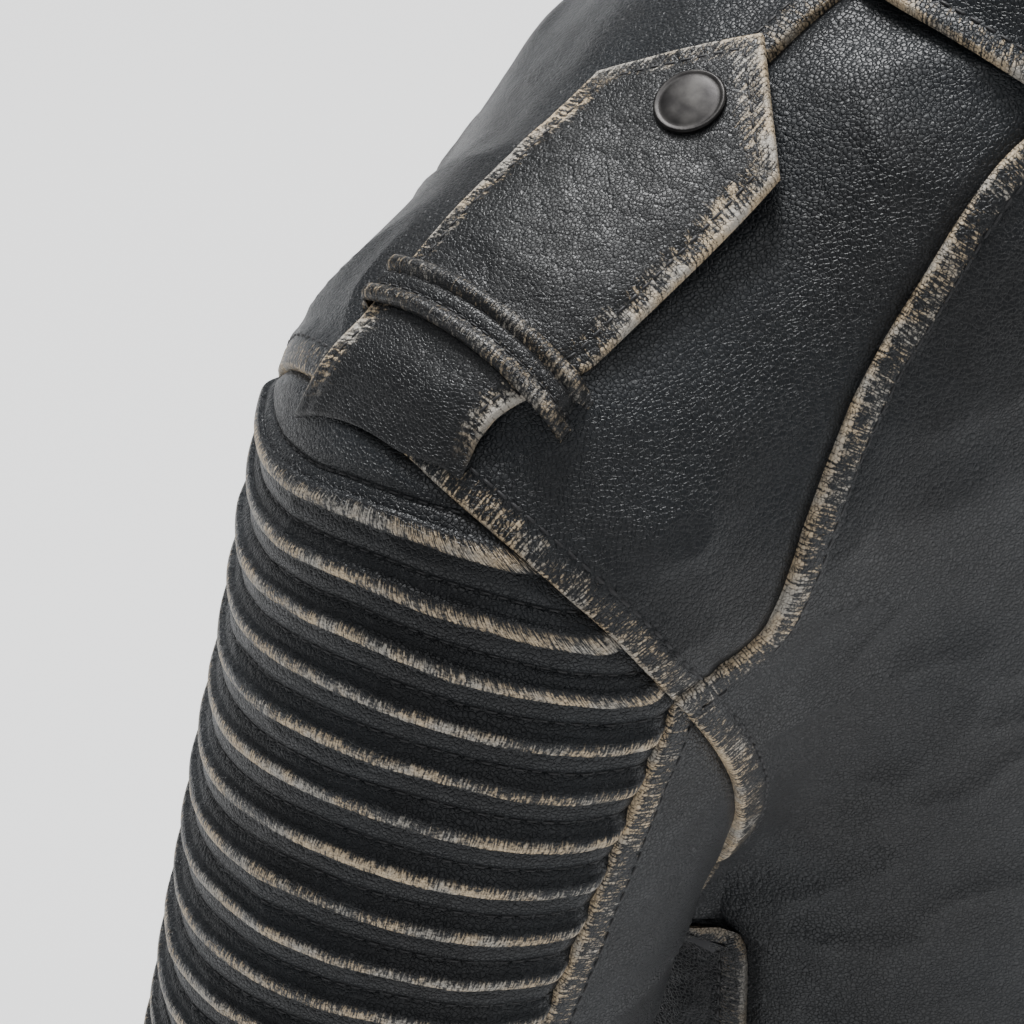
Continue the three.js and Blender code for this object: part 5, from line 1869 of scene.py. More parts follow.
@dataclass
class ShoulderStrap:
    """Pointed strap along the shoulder, its keeper and its snap."""

    width: float = 46.0
    thickness: float = 2.6
    tip_x: float = 124.0
    point: float = 19.0
    end_x: float = 221.0
    y: float = -4.0
    yaw: float = 0.09
    hinge_x: float = 192.8
    keeper_x: float = 194.0
    keeper_width: float = 9.0
    keeper_reach: float = 27.2
    snap_x: float = 142.0
    snap_radius: float = 7.5
    stitch_in: float = 3.2
    cord: float = 1.45
    bars: tuple[float, float] = (25.8, 26.7)
    bend: tuple[float, float] = (198.0, 187.0)
    bend_z: float = 560.0

    def centre(self, x: Array | float) -> Array | float:
        """The strap's middle line."""
        return self.y + self.yaw * (x - self.snap_x)

    def end(self, w: Array) -> Array:
        """Where the strap ends: nearer the neck at its front corner."""
        return self.end_x - 3.0 * smooth(-0.1, -1.1, w)

    def lift(self, x: Array) -> Array:
        """Gap under the strap: small at the sleeve end, larger over the snap."""
        return 0.9 + 2.8 * smooth(self.hinge_x + 4.0, self.snap_x + 12.0, x)

    def plan(self, t: Array, w: Array) -> tuple[Array, Array]:
        """Grid of places in plan, from the pointed tip to the raw end.

        Args:
            t: Parameters along the strap.
            w: Parameters across it, -1 to 1.

        Returns:
            x and y.
        """
        start = self.tip_x + self.point * np.abs(w)[None]
        x = start + (self.end(w)[None] - start) * t[:, None]
        width = self.width * (1.0 + 0.10 * smooth(206.0, 221.0, x) - 0.03 * bell(x, 200.0, 9.0))
        drawn_in = 8.0 * smooth(190.0, 214.0, x) * np.clip(-w, 0.0, 1.0)[None]
        return x, self.centre(x) + w[None] * width / 2.0 + drawn_in

    def edge_distances(self, x: Array, w: Array) -> tuple[Array, Array]:
        """Distances in plan to the strap's long edges and to its pointed end.

        Args:
            x: Places.
            w: Share of the half width.

        Returns:
            Both distances.
        """
        side = self.width / 2.0 * (1.0 - np.abs(w)[None]) + 0 * x
        slope = math.atan2(self.width / 2.0, self.point)
        return side, (x - self.tip_x - self.point * np.abs(w)[None]) * math.sin(slope)

    def strap(self, sign: float) -> tuple[Skin, Skin]:
        """The strap in one piece and its stitches.

        Args:
            sign: 1 for the left, -1 for the right.

        Returns:
            Strap and stitches.
        """
        t = graded(self.end_x - self.tip_x - self.point / 2, 0.85)
        half = graded(self.width, 0.85)
        w = half * 2.0 - 1.0
        w[len(w) // 2] = 0.0
        x, y = self.plan(t, w)
        base = FORM.on_top(x, y)
        base = self.raised(base, x)
        normals = FORM.normal(base, Region.WHOLE)
        real = flipped(base, sign)
        side, tip = self.edge_distances(x, w)
        d = np.minimum(side, tip)
        crinkle = 0.22 * ripple(real, (9.0, 14.0, 9.0), 81, 3) + 0.10 * ripple(real, (3.2, 4.6, 3.2), 83, 2)
        wave = 0.8 * ripple(real, (34.0, 30.0, 34.0), 85) * smooth(self.keeper_x, self.snap_x, x)
        puff = 0.5 * smooth(1.2, 5.0, d) * smooth(30.0, 6.0, d)
        groove = 0.42 * bell(d, self.stitch_in, 0.75)
        waist = 1.1 * smooth(14.0, 3.0, np.abs(x - self.keeper_x - self.keeper_width / 2))
        ended = self.end(w)[None] - x
        sunk = 2.6 * smooth(11.0, 0.5, ended) * (0.55 + 0.45 * smooth(1.0, 0.6, w))
        height = self.thickness + puff - groove + crinkle - rounded_top(np.minimum(d, ended), 0.55) - 0.35 * waist
        height = np.maximum(height - sunk, 0.25)
        top = base + normals * (self.lift(x) + wave + height)[..., None]
        under = base + normals * (self.lift(x) + wave)[..., None]
        along, worn = np.where(side < tip, x, y), smooth(1.0, 9.0, ended)
        values = {"edge_mm": d, "along_mm": along, "worn": worn, "plan": x}
        rim = ((0.14, 0.22), (0.34, 0.36), (0.47, 0.30), (0.51, -0.02), (0.55, 0.26), (0.72, 0.34), (0.92, 0.12))
        skin = closed_sheet(top, under, values, 4, rim)
        keep = (np.abs(x - self.keeper_x - self.keeper_width / 2) > self.keeper_width / 2 + 0.4) & (ended > 7.0)
        threads = []
        for border, outline in ((Border.LEFT, w < 0), (Border.RIGHT, w > 0), (Border.BOTTOM, np.abs(w) < 2)):
            only = d if border is Border.BOTTOM else side
            flags = keep & outline[None] & (np.abs(d - only) < 0.2)
            if border is Border.BOTTOM:
                flags = keep & (np.abs(d - side) > 0.2)
            line, out = contour(top, normals, only, self.stitch_in, border, flags)
            threads.append(stitch_row(line, out, 3.3, 2.4, 0.3))
        return skin.mirrored(sign), Skin.merged(threads).mirrored(sign)

    def raised(self, base: Array, x: Array) -> Array:
        """Where the strap runs over the sleeve head it follows the padding, a little above the form."""
        rise = 0.8 * smooth(206.0, 216.0, x)
        return base + rise[..., None] * np.array([0.35, 0.0, 0.94])

    def keeper(self, sign: float) -> tuple[Skin, Skin]:
        """The keeper: a band across the strap with a cord along each edge, and the bar stitches at its ends.

        Args:
            sign: 1 for the left, -1 for the right.

        Returns:
            Band and stitches.
        """
        across = graded(self.keeper_width, 0.4)
        v = np.linspace(-1.0, 1.0, 113)
        x = self.keeper_x + self.keeper_width * across[None] + 0 * v[:, None]
        y = self.centre(x) + v[:, None] * self.keeper_reach
        base = FORM.on_top(x, y)
        normals = FORM.normal(base, Region.WHOLE)
        real = flipped(base, sign)
        off = np.abs(y - self.centre(x))
        seat = self.lift(x) + self.thickness + 0.55
        low = seat + (0.15 - seat) * smooth(23.2, self.bars[0], off)
        c = across[None] * self.keeper_width + 0 * v[:, None]
        edge = np.minimum(c, self.keeper_width - c)
        cords = np.sqrt(np.clip(1.0 - ((edge - self.cord) / self.cord) ** 2, 0.0, 1.0))
        height = np.maximum(0.75 + 0.2 * bell(c, self.keeper_width / 2, 1.6), 0.55 + 1.75 * cords)
        height = height - 0.5 * smooth(25.4, self.keeper_reach, off) - 0.25 * bell(edge, self.stitch_in, 0.3)
        height = height + 0.10 * ripple(real, (6.0, 9.0, 6.0), 91, 2)
        top = base + normals * (low + height)[..., None]
        under = base + normals * low[..., None]
        values = {"edge_mm": 1.4 + np.abs(edge - self.cord) * 2.0, "along_mm": y, "worn": 0.5 + 0 * y}
        skin = closed_sheet(top, under, values, 4, ((0.3, 0.1), (0.8, 0.05)))
        threads = []
        for end, side in itertools.product(self.bars, (-1.0, 1.0)):
            row = np.abs(v * self.keeper_reach - side * end).argmin()
            threads.append(stitch_row(top[row, 3:-3], normals[row, 3:-3], 1.5, 1.2, 0.3))
        for middle in (self.stitch_in, self.keeper_width - self.stitch_in):
            column = np.abs(across * self.keeper_width - middle).argmin()
            threads.append(stitch_row(top[8:-8, column], normals[8:-8, column], 3.2, 2.2, 0.22))
        return skin.mirrored(sign), Skin.merged(threads).mirrored(sign)

    def snap(self, sign: float) -> dict[str, Skin]:
        """Cap, socket and stud, turned round the snap's axis.

        Args:
            sign: 1 for the left, -1 for the right.

        Returns:
            Node name without its side to skin.
        """
        seat = FORM.on_top(np.array([self.snap_x]), np.array([self.y]))
        axis = FORM.normal(seat, Region.WHOLE)[0]
        lift = float(self.lift(np.array([self.snap_x]))[0])
        base = lift + self.thickness + 0.5
        r = self.snap_radius
        a = np.linspace(0.0, math.pi, 9)
        roll = np.stack([r - 0.55 + 0.55 * np.sin(a), base + 0.62 - 0.55 * np.cos(a)], -1)
        cap = np.concatenate([
            np.array([(0, lift + 0.1), (1.6, lift + 0.1), (1.6, base - 0.15), (r - 1.1, base - 0.1)]),
            roll,
            np.array([(r - 1.0, base + 1.02), (r - 1.35, base + 0.98), (r - 1.9, base + 1.08)]),
            np.stack([np.linspace(r - 2.6, 0, 9), base + 1.16 + 0.22 * np.linspace(0, 1, 9) ** 0.6], -1),
        ])
        socket = np.array([
            (0, 3.2), (2.2, 3.2), (2.45, 3.1), (2.5, 2.0), (2.7, 1.9), (5.1, 1.9), (5.4, 2.1), (5.4, 3.1),
            (5.1, 3.35), (0, 3.35),
        ])
        stud = np.array([
            (0, 0.8), (4.8, 0.8), (5.0, 0.95), (5.0, 1.45), (4.8, 1.6), (2.1, 1.62), (1.8, 1.75), (1.7, 2.2),
            (2.0, 2.5), (1.9, 2.85), (1.5, 3.02), (0, 3.08),
        ])
        shapes = {"snap_cap": cap, "snap_socket": socket, "snap_stud": stud}
        return {key: turned(shape, seat[0], axis, 64).mirrored(sign) for key, shape in shapes.items()}


# ---- zips ----
@dataclass(frozen=True)
class ZipFrame:
    """A zip's own directions: x across, y along, z out of the leather."""

    origin: Array
    x: Array
    y: Array
    z: Array

    @staticmethod
    def between(start: Array, end: Array, normal: Array) -> "ZipFrame":
        """Frame of a zip between two points.

        Args:
            start: Lower end.
            end: Upper end.
            normal: Roughly outward.

        Returns:
            The frame.
        """
        y = unit(end - start)
        z = unit(normal - y * np.dot(normal, y))
        return ZipFrame(start, np.cross(y, z), y, z)

    def out(self, p: Array) -> Array:
        """Points given in the frame, in the hem frame."""
        return self.origin + p[..., :1] * self.x + p[..., 1:2] * self.y + p[..., 2:] * self.z


@dataclass
class Zip:
    """A metal zip: woven tape, two rows of teeth, and its CAD slider and pull with finished edges."""

    name: str
    place: ZipFrame
    length: float
    depth: float
    tape_half: float
    first: float
    tape_low: float
    tape_past: float
    tape: float = 0.7
    bead_at: float = 4.7
    gap: float = 0.2
    pitch: float = 2.5
    teeth_height: float = 2.3

    def tape_skin(self, side: float) -> Skin:
        """One side of the tape, with a cord bead beside the teeth.

        Args:
            side: 1 or -1.

        Returns:
            A closed skin.
        """
        across = graded(self.tape_half - self.gap, 0.7)
        low, high = self.tape_low, self.length + self.tape_past
        along = np.linspace(low, high, int((high - low) / 8.0) * 4 + 1)
        x = side * (self.gap + (self.tape_half - self.gap) * across)[None] + 0 * along[:, None]
        y = along[:, None] + 0 * x
        bead = 0.35 * bell(np.abs(x), self.bead_at, 0.6)
        z = -self.depth + bead - 0.05
        top = self.place.out(np.stack([x, y, z], -1))
        low_side = self.place.out(np.stack([x, y, 0 * x - self.depth - self.tape], -1))
        return closed_sheet(top, low_side, None, 4)

    def teeth_skin(self, side: float) -> Skin:
        """One row of teeth: small blocks with a rounded nose, a waist and a shoulder, offset half a pitch per side.

        Args:
            side: 1 or -1.

        Returns:
            A skin of all the teeth.
        """
        h, p = self.teeth_height / 2, self.pitch
        outline = np.array([
            (-0.5, -0.30), (0.1, -0.44), (1.3, -0.40), (3.5, -0.62), (4.1, -0.5), (4.1, 0.5), (3.5, 0.62),
            (1.3, 0.40), (0.1, 0.44), (-0.5, 0.30),
        ]) * np.array([1.0, 0.42 * p])
        n = len(outline)
        levels = [(-h, 0.80), (-h + 0.3, 1.0), (h - 0.3, 1.0), (h, 0.80)]
        middle = np.array([2.3, 0.0])
        rows = [np.concatenate([(outline - middle) * k + middle, np.full((n, 1), z)], 1) for z, k in levels]
        ids = np.arange(4 * n).reshape(4, n)
        wrapped = np.concatenate([ids, ids[:, :1]], 1)
        template = Skin(np.concatenate(rows), [grid_faces(wrapped), ids[:1, ::-1], ids[-1:]])
        if side < 0:
            template = Skin(template.points * np.array([-1.0, 1.0, 1.0]), [f[:, ::-1] for f in template.faces])
        count = int((self.length - self.first - 3.0) / p)
        y = self.first + 1.6 + p * (np.arange(count) + (0.5 if side > 0 else 0.0))
        zero = np.zeros_like(y)
        centres = self.place.out(np.stack([zero, y, zero - self.depth - self.tape / 2], -1))
        axes = (np.broadcast_to(axis, centres.shape) for axis in (self.place.x, self.place.y, self.place.z))
        return repeated(template, centres, *axes)


@dataclass(frozen=True)
class Opening:
    """A zip's opening in a panel and the turned edge round it, measured along the zip."""

    panel: str
    low: float
    high: float
    welt_low: float
    welt_high: float
    closed: bool
    half: float = 7.0
    corner: float = 0.4
    cut: float = 9.0
    sunk: float = 0.8

    def cutter(self, place: ZipFrame) -> Skin:
        """The box that cuts the opening, its corners taken off.

        Args:
            place: The zip's frame.

        Returns:
            A closed skin.
        """
        low, high, half, near = self.low, self.high, self.half, self.half - self.corner
        ring = np.array([
            (-near, low), (near, low), (half, low + self.corner), (half, high - self.corner), (near, high),
            (-near, high), (-half, high - self.corner), (-half, low + self.corner),
        ])
        rows = [np.concatenate([ring, np.full((len(ring), 1), z)], 1) for z in (-self.cut, self.cut)]
        ids = np.arange(2 * len(ring)).reshape(2, len(ring))
        wrapped = np.concatenate([ids, ids[:, :1]], 1)
        return Skin(place.out(np.concatenate(rows)), [grid_faces(wrapped), ids[:1, ::-1], ids[1:]])

    def path(self) -> Array:
        """Line of the turned edge in the zip's plane: up one side, over the end and down the other.

        Returns:
            Points, without the last one repeated where the edge runs all round.
        """
        step = np.linspace(self.welt_low, self.welt_high, 75)
        left = np.stack([0 * step - self.half, step], -1)
        right = left[::-1] * np.array([-1.0, 1.0])
        across = np.linspace(-self.half, self.half, 9)[1:-1]
        parts = [left, np.stack([across, 0 * across + self.welt_high], -1), right]
        if self.closed:
            parts.append(np.stack([across[::-1], 0 * across + self.welt_low], -1))
        return np.concatenate(parts)


POCKET_OPENING = Opening("front_panel", -5.2, 144.0, -6.9, 144.0, True)
CUFF_OPENING = Opening("sleeve_forearm_panel", -20.0, 104.0, -4.0, 104.0, False)
POCKET_X, POCKET_Z = 98.0, (58.0, 198.0)
CUFF_FROM_END, CUFF_ANGLE = (4.0, 104.0), 120.0


def edged_copy(node: str, bevel: float, material: bpy.types.Material, body: str) -> bpy.types.Object:
    """A CAD node's copy, merged, with its edges rounded by a bevel.

    Args:
        node: The CAD node.
        bevel: Width of the rounding in millimetres.
        material: Its finish.
        body: Body it rides on.

    Returns:
        The piece.
    """
    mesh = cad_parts[node].data.copy()
    piece = bpy.data.objects.new(node + "_finished", mesh)
    bpy.context.scene.collection.objects.link(piece)
    work = bmesh.new()
    work.from_mesh(mesh)
    bmesh.ops.remove_doubles(work, verts=work.verts, dist=1e-6)
    bmesh.ops.dissolve_limit(work, angle_limit=math.radians(2.0), verts=work.verts, edges=work.edges)
    work.to_mesh(mesh)
    work.free()
    mesh.materials.clear()
    mesh.materials.append(material)
    rounding = piece.modifiers.new("edges", "BEVEL")
    rounding.width = bevel * METRE
    rounding.segments = 2
    rounding.limit_method = "ANGLE"
    rounding.angle_limit = math.radians(32.0)
    mesh.shade_smooth()
    mesh.set_sharp_from_angle(angle=math.radians(38.0))
    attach(piece, body)
    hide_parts(node)
    return piece


# ---- collar ----
@dataclass
class Collar:
    """Stand and turned-down leaf round the neck seam."""

    stand_height: float = 30.0
    thickness: float = 2.2
    lean: float = 0.12
    clearance: float = 2.0
    foot: float = 1.2
    stitch_in: float = 5.5

    def __post_init__(self) -> None:
        """Works out the neck ring and its directions."""
        p = PATTERN
        half = p.neck(p.neck_start + 2.0 + (180.0 - p.neck_start - 2.0) * np.linspace(0, 1, 145))
        self.ring = np.concatenate([half, flipped(half[-2::-1], -1.0)])
        out = np.stack([self.ring[:, 0], (self.ring[:, 1] + 15.0) * 0.9, 0 * self.ring[:, 0]], -1)
        self.out = unit(out)
        self.up = unit(np.array([0.0, 0.0, 1.0]) - self.out * self.lean)

    def at(self, out: float | Array, up: float | Array) -> Array:
        """The neck ring moved out and up."""
        return self.ring + self.out * out + self.up * up

    def stand(self) -> Skin:
        """The stand, a slightly swelling band with a rolled lower edge.

        Returns:
            A closed skin.
        """
        rise = self.stand_height - self.foot
        t = graded(rise, 1.6)
        rows, inner = (
            np.stack([self.at(out, self.foot + rise * k) for k in t]) for out in (1.0, 1.0 - self.thickness)
        )
        swell = 0.3 * ripple(rows, (22.0, 22.0, 10.0), 101, 2)[..., None] * self.out[None]
        d = t[:, None] * self.stand_height + 0 * rows[..., 0]
        values = {"edge_mm": 4.0 + d, "along_mm": np.cumsum(np.ones_like(d), 1), "worn": 0.4 + 0 * d}
        return closed_sheet(rows + swell, inner, values, 4, ((0.5, 0.3),))

    def leaf(self) -> tuple[Skin, Skin]:
        """The leaf, from the stand's top over the fold and down onto the shoulders, and its stitches.

        Returns:
            Leaf and stitches.
        """
        frontness = smooth(0.2, 1.0, -self.out[:, 1])
        backness = smooth(0.3, 1.0, self.out[:, 1])
        reach = (34.0 - 22.0 * frontness - 10.0 * backness)[:, None]
        drop = 8.0 + 40.0 * frontness + 34.0 * backness
        start, fold, over = (
            self.at(0.0, self.stand_height + 1.9),
            self.at(4.0, self.stand_height + 5.5),
            self.at(9.0, self.stand_height - 1.0),
        )
        end = FORM.settle(self.ring + self.out * reach - drop[:, None] * np.array([0, 0, 1.0]), Region.WHOLE)
        control = np.stack([start, fold, over, (over + end) / 2, end])
        t = graded(62.0, 1.2)
        middle = catmull(control, t)
        depth = FORM.value(middle)
        clear = self.clearance + self.thickness / 2
        push = np.where((t[:, None] > 0.3) & (depth < clear), clear - depth, 0.0)
        middle = middle + FORM.normal(middle, Region.WHOLE) * push[..., None]
        down = np.gradient(middle, axis=0)
        along = np.gradient(middle, axis=1)
        normals = unit(np.cross(down, along))
        facing = np.sign(dot(normals[0], self.out + self.up).sum())
        normals = normals * facing
        steps = np.linalg.norm(np.diff(middle, axis=0), axis=-1)
        s = np.concatenate([np.zeros((1, middle.shape[1])), np.cumsum(steps, 0)])
        from_end = s[-1:] - s
        walk = np.concatenate([[0.0], np.cumsum(np.linalg.norm(np.diff(middle[-1], axis=0), axis=-1))])
        tip = np.minimum(walk, walk[-1] - walk)[None] + 0 * s
        d = np.minimum(from_end, tip * 0.8)
        groove = 0.4 * bell(d, self.stitch_in, 0.9)
        puff = 0.5 * (1 - smooth(5.0, 8.0, d))
        soft = 0.55 * ripple(middle, (26.0, 26.0, 18.0), 103, 2)
        height = self.thickness / 2 + puff - groove + soft * smooth(2.0, 14.0, d) - rounded_top(d, 1.1)
        top = middle + normals * height[..., None]
        under = middle - normals * (self.thickness / 2 - 0.4)
        values = {"edge_mm": d, "along_mm": walk[None] + 0 * d, "worn": 0.9 + 0 * d}
        keep = (tip > 6.5) & (s > 2.0)
        ends = (tip * 0.8, (from_end > 6.0) & (s > 10.0))
        threads = [
            stitch_row(*contour(top, normals, value, self.stitch_in, border, kept))
            for border, (value, kept) in ((Border.TOP, (from_end, keep)), (Border.LEFT, ends), (Border.RIGHT, ends))
        ]
        return closed_sheet(top, under, values, 4, ((0.3, 0.2), (0.7, 0.2))), Skin.merged(threads)


# ---- inside pieces ----
def level_sheet(points: Array, depth: float, thickness: float, sign: float, stride: int = 4) -> Skin:
    """Closed sheet at a depth behind a grid of torso points.

    Args:
        points: Grid on the torso.
        depth: How far its outer face lies behind the leather's face.
        thickness: Its own thickness.
        sign: Side.
        stride: Lines of the face per line of the back.

    Returns:
        A closed skin.
    """
    normals = FORM.normal(points, Region.BODY)
    flat = points[..., 2] < 0.01
    normals[flat, 2] = 0.0
    normals = unit(normals)
    pucker = 0.25 * ripple(points, (16.0, 16.0, 12.0), 111, 2)[..., None]
    face = points - normals * depth + normals * pucker * 0.5
    return closed_sheet(face, points - normals * (depth + thickness), None, stride).mirrored(sign)


def front_grid(x0: float, x1: float, z0: float, z1: float, n: int, m: int) -> Array:
    """Grid of front torso points between two widths and two heights.

    Args:
        x0: Width where it starts.
        x1: Width where it ends.
        z0: Lower height.
        z1: Upper height.
        n: Points across.
        m: Points up.

    Returns:
        Points, shape (m, n, 3).
    """
    z = np.linspace(z0, z1, m)[:, None] + np.zeros((1, n))
    x = np.linspace(x0, x1, n)[None] + 0 * z
    return FORM.settle(np.stack([x, FORM.front_y(z), z], -1), Region.BODY, True)


@dataclass
class Facings:
    """Front facings, pocket bags and hem facing: level sheets behind the leather."""

    front: tuple[float, float, float, float] = (8.0, 38.0, 2.0, 532.0)
    front_depth: float = 3.7
    front_thickness: float = 1.2
    bag: tuple[float, float, float, float] = (42.0, 93.0, 68.0, 210.0)
    bag_depth: float = 4.5
    bag_thickness: float = 1.6
    hem_rise: float = 28.0
    hem_depth: float = 2.0
    hem_thickness: float = 2.8
    hem_start: float = 40.0

    def front_facing(self, sign: float) -> Skin:
        """Leather strip behind the zip."""
        return level_sheet(front_grid(*self.front, 13, 161), self.front_depth, self.front_thickness, sign)

    def pocket_bag(self, sign: float) -> Skin:
        """Flat bag behind the pocket's zip."""
        return level_sheet(front_grid(*self.bag, 25, 57), self.bag_depth, self.bag_thickness, sign)

    def hem_facing(self) -> Skin:
        """Leather band inside the hem: the hem's line, mirrored, in rows that rise and settle on the torso.

        Returns:
            A closed skin.
        """
        p = PATTERN
        ring = Edge.chain(p.hem_front, p.hem_side, p.hem_back).resampled(2.5)
        ring = ring[ring[:, 0] > 0][np.argmax(ring[:, 0] > self.hem_start):]
        ring = np.concatenate([ring, flipped(ring[::-1], -1.0)])
        ring = ring[: (len(ring) - 1) // 4 * 4 + 1]
        rise = np.linspace(0.0, self.hem_rise, 13)
        rows = ring[None] + rise[:, None, None] * np.array([0.0, 0.0, 1.0])
        rows[1:] = FORM.settle(rows[1:], Region.BODY, True)
        return level_sheet(rows, self.hem_depth, self.hem_thickness, 1.0)


@dataclass
class Hanger:
    """The hanger loop: a woven band that arches up in front of the collar stand."""

    half: float = 26.0
    arch: float = 12.0
    foot: float = 1.0
    depth: float = 5.0
    thickness: float = 1.6
    crown: float = 0.5
    clear: float = 2.6

    def band(self) -> Skin:
        """A cosine arch along the neck seam, flat in depth and slightly crowned across.

        Returns:
            A closed skin.
        """
        x = np.linspace(-self.half, self.half, 49)
        rise = self.arch * np.cos(math.pi * x / (2.0 * self.half))
        seam = PATTERN.neck(180.0 - np.degrees(np.arcsin(np.abs(x) / PATTERN.neck_half)))
        back = seam[:, 1] - self.clear - Collar.lean * (rise + self.clear)
        z = PATTERN.neck(np.array([180.0]))[0, 2] + self.foot + rise
        across = np.linspace(0.0, 1.0, 9)
        edge = np.stack([x, back, z], -1)
        rows = edge[:, None] - across[None, :, None] * np.array([0.0, self.depth, 0.0])
        bulge = self.thickness - self.crown * np.abs(2 * across - 1) ** 4
        top = rows + bulge[None, :, None] * np.array([0.0, 0.0, 1.0])
        return closed_sheet(top, rows, None, 4, ((0.5, 0.15),))


@dataclass
class Linings:
    """Satin linings of body and sleeves, close behind the leather at hem and armhole and looser between."""

    thickness: float = 0.7
    deep: float = 7.0
    seam: float = 4.0
    hem: float = 5.4

    def depth(self, p: Array, body: bool) -> Array:
        """How far the lining lies behind the leather.

        Args:
            p: Points of the left half.
            body: Whether the hem counts.

        Returns:
            Depths.
        """
        d = nearest_on(PATTERN.armhole_ring.resampled(3.0), p.reshape(-1, 3))[0].reshape(p.shape[:-1])
        depth = self.seam + (self.deep - self.seam) * smooth(4.0, 40.0, d)
        if body:
            depth = np.minimum(depth, self.hem + (self.deep - self.hem) * smooth(25.0, 60.0, p[..., 2]))
        return depth + 0.35 * ripple(p, (24.0, 24.0, 38.0), 121, 2) - 0.35

    def layer(self, grids: Sequence[Array], region: Region, both: bool, sign: float) -> Skin:
        """Patches moved inward as an open sheet, to be welded and thickened.

        Args:
            grids: Patches of the form.
            region: Surface that they lie on.
            both: Add the mirror image.
            sign: Side.

        Returns:
            The sheet.
        """
        skins = []
        for grid in grids:
            normals = FORM.normal(grid, region)
            level = np.abs(grid[..., 2]) < 0.01
            normals[level, 2] = 0.0
            normals = unit(normals)
            points = grid - normals * self.depth(grid, region is Region.BODY)[..., None]
            points[np.abs(grid[..., 0]) < 1e-6, 0] = 0.0
            faces = [grid_faces(np.arange(points[..., 0].size).reshape(points.shape[:2]))]
            a, b, c = points[0, 0], points[0, 1], points[1, 0]
            if np.dot(np.cross(b - a, c - a), normals[0, 0]) < 0:
                faces = [f[:, ::-1] for f in faces]
            skin = Skin(points.reshape(-1, 3), faces)
            skins += [skin, skin.mirrored(-1.0)] if both else [skin.mirrored(sign)]
        return Skin.merged(skins)


def thicken(piece: bpy.types.Object, thickness: float) -> None:
    """Welds a sheet's patches together and gives it a thickness inward.

    Args:
        piece: The sheet.
        thickness: In millimetres.
    """
    work = bmesh.new()
    work.from_mesh(piece.data)
    bmesh.ops.remove_doubles(work, verts=work.verts, dist=0.15 * METRE)
    work.to_mesh(piece.data)
    work.free()
    piece.data.shade_smooth()
    wall = piece.modifiers.new("wall", "SOLIDIFY")
    wall.thickness = thickness * METRE
    wall.offset = -1.0


def plain(cells: int, per_cell: int) -> Array:
    """Even parameters, so that neighbouring patches share their border points."""
    return np.linspace(0.0, 1.0, cells * per_cell + 1)


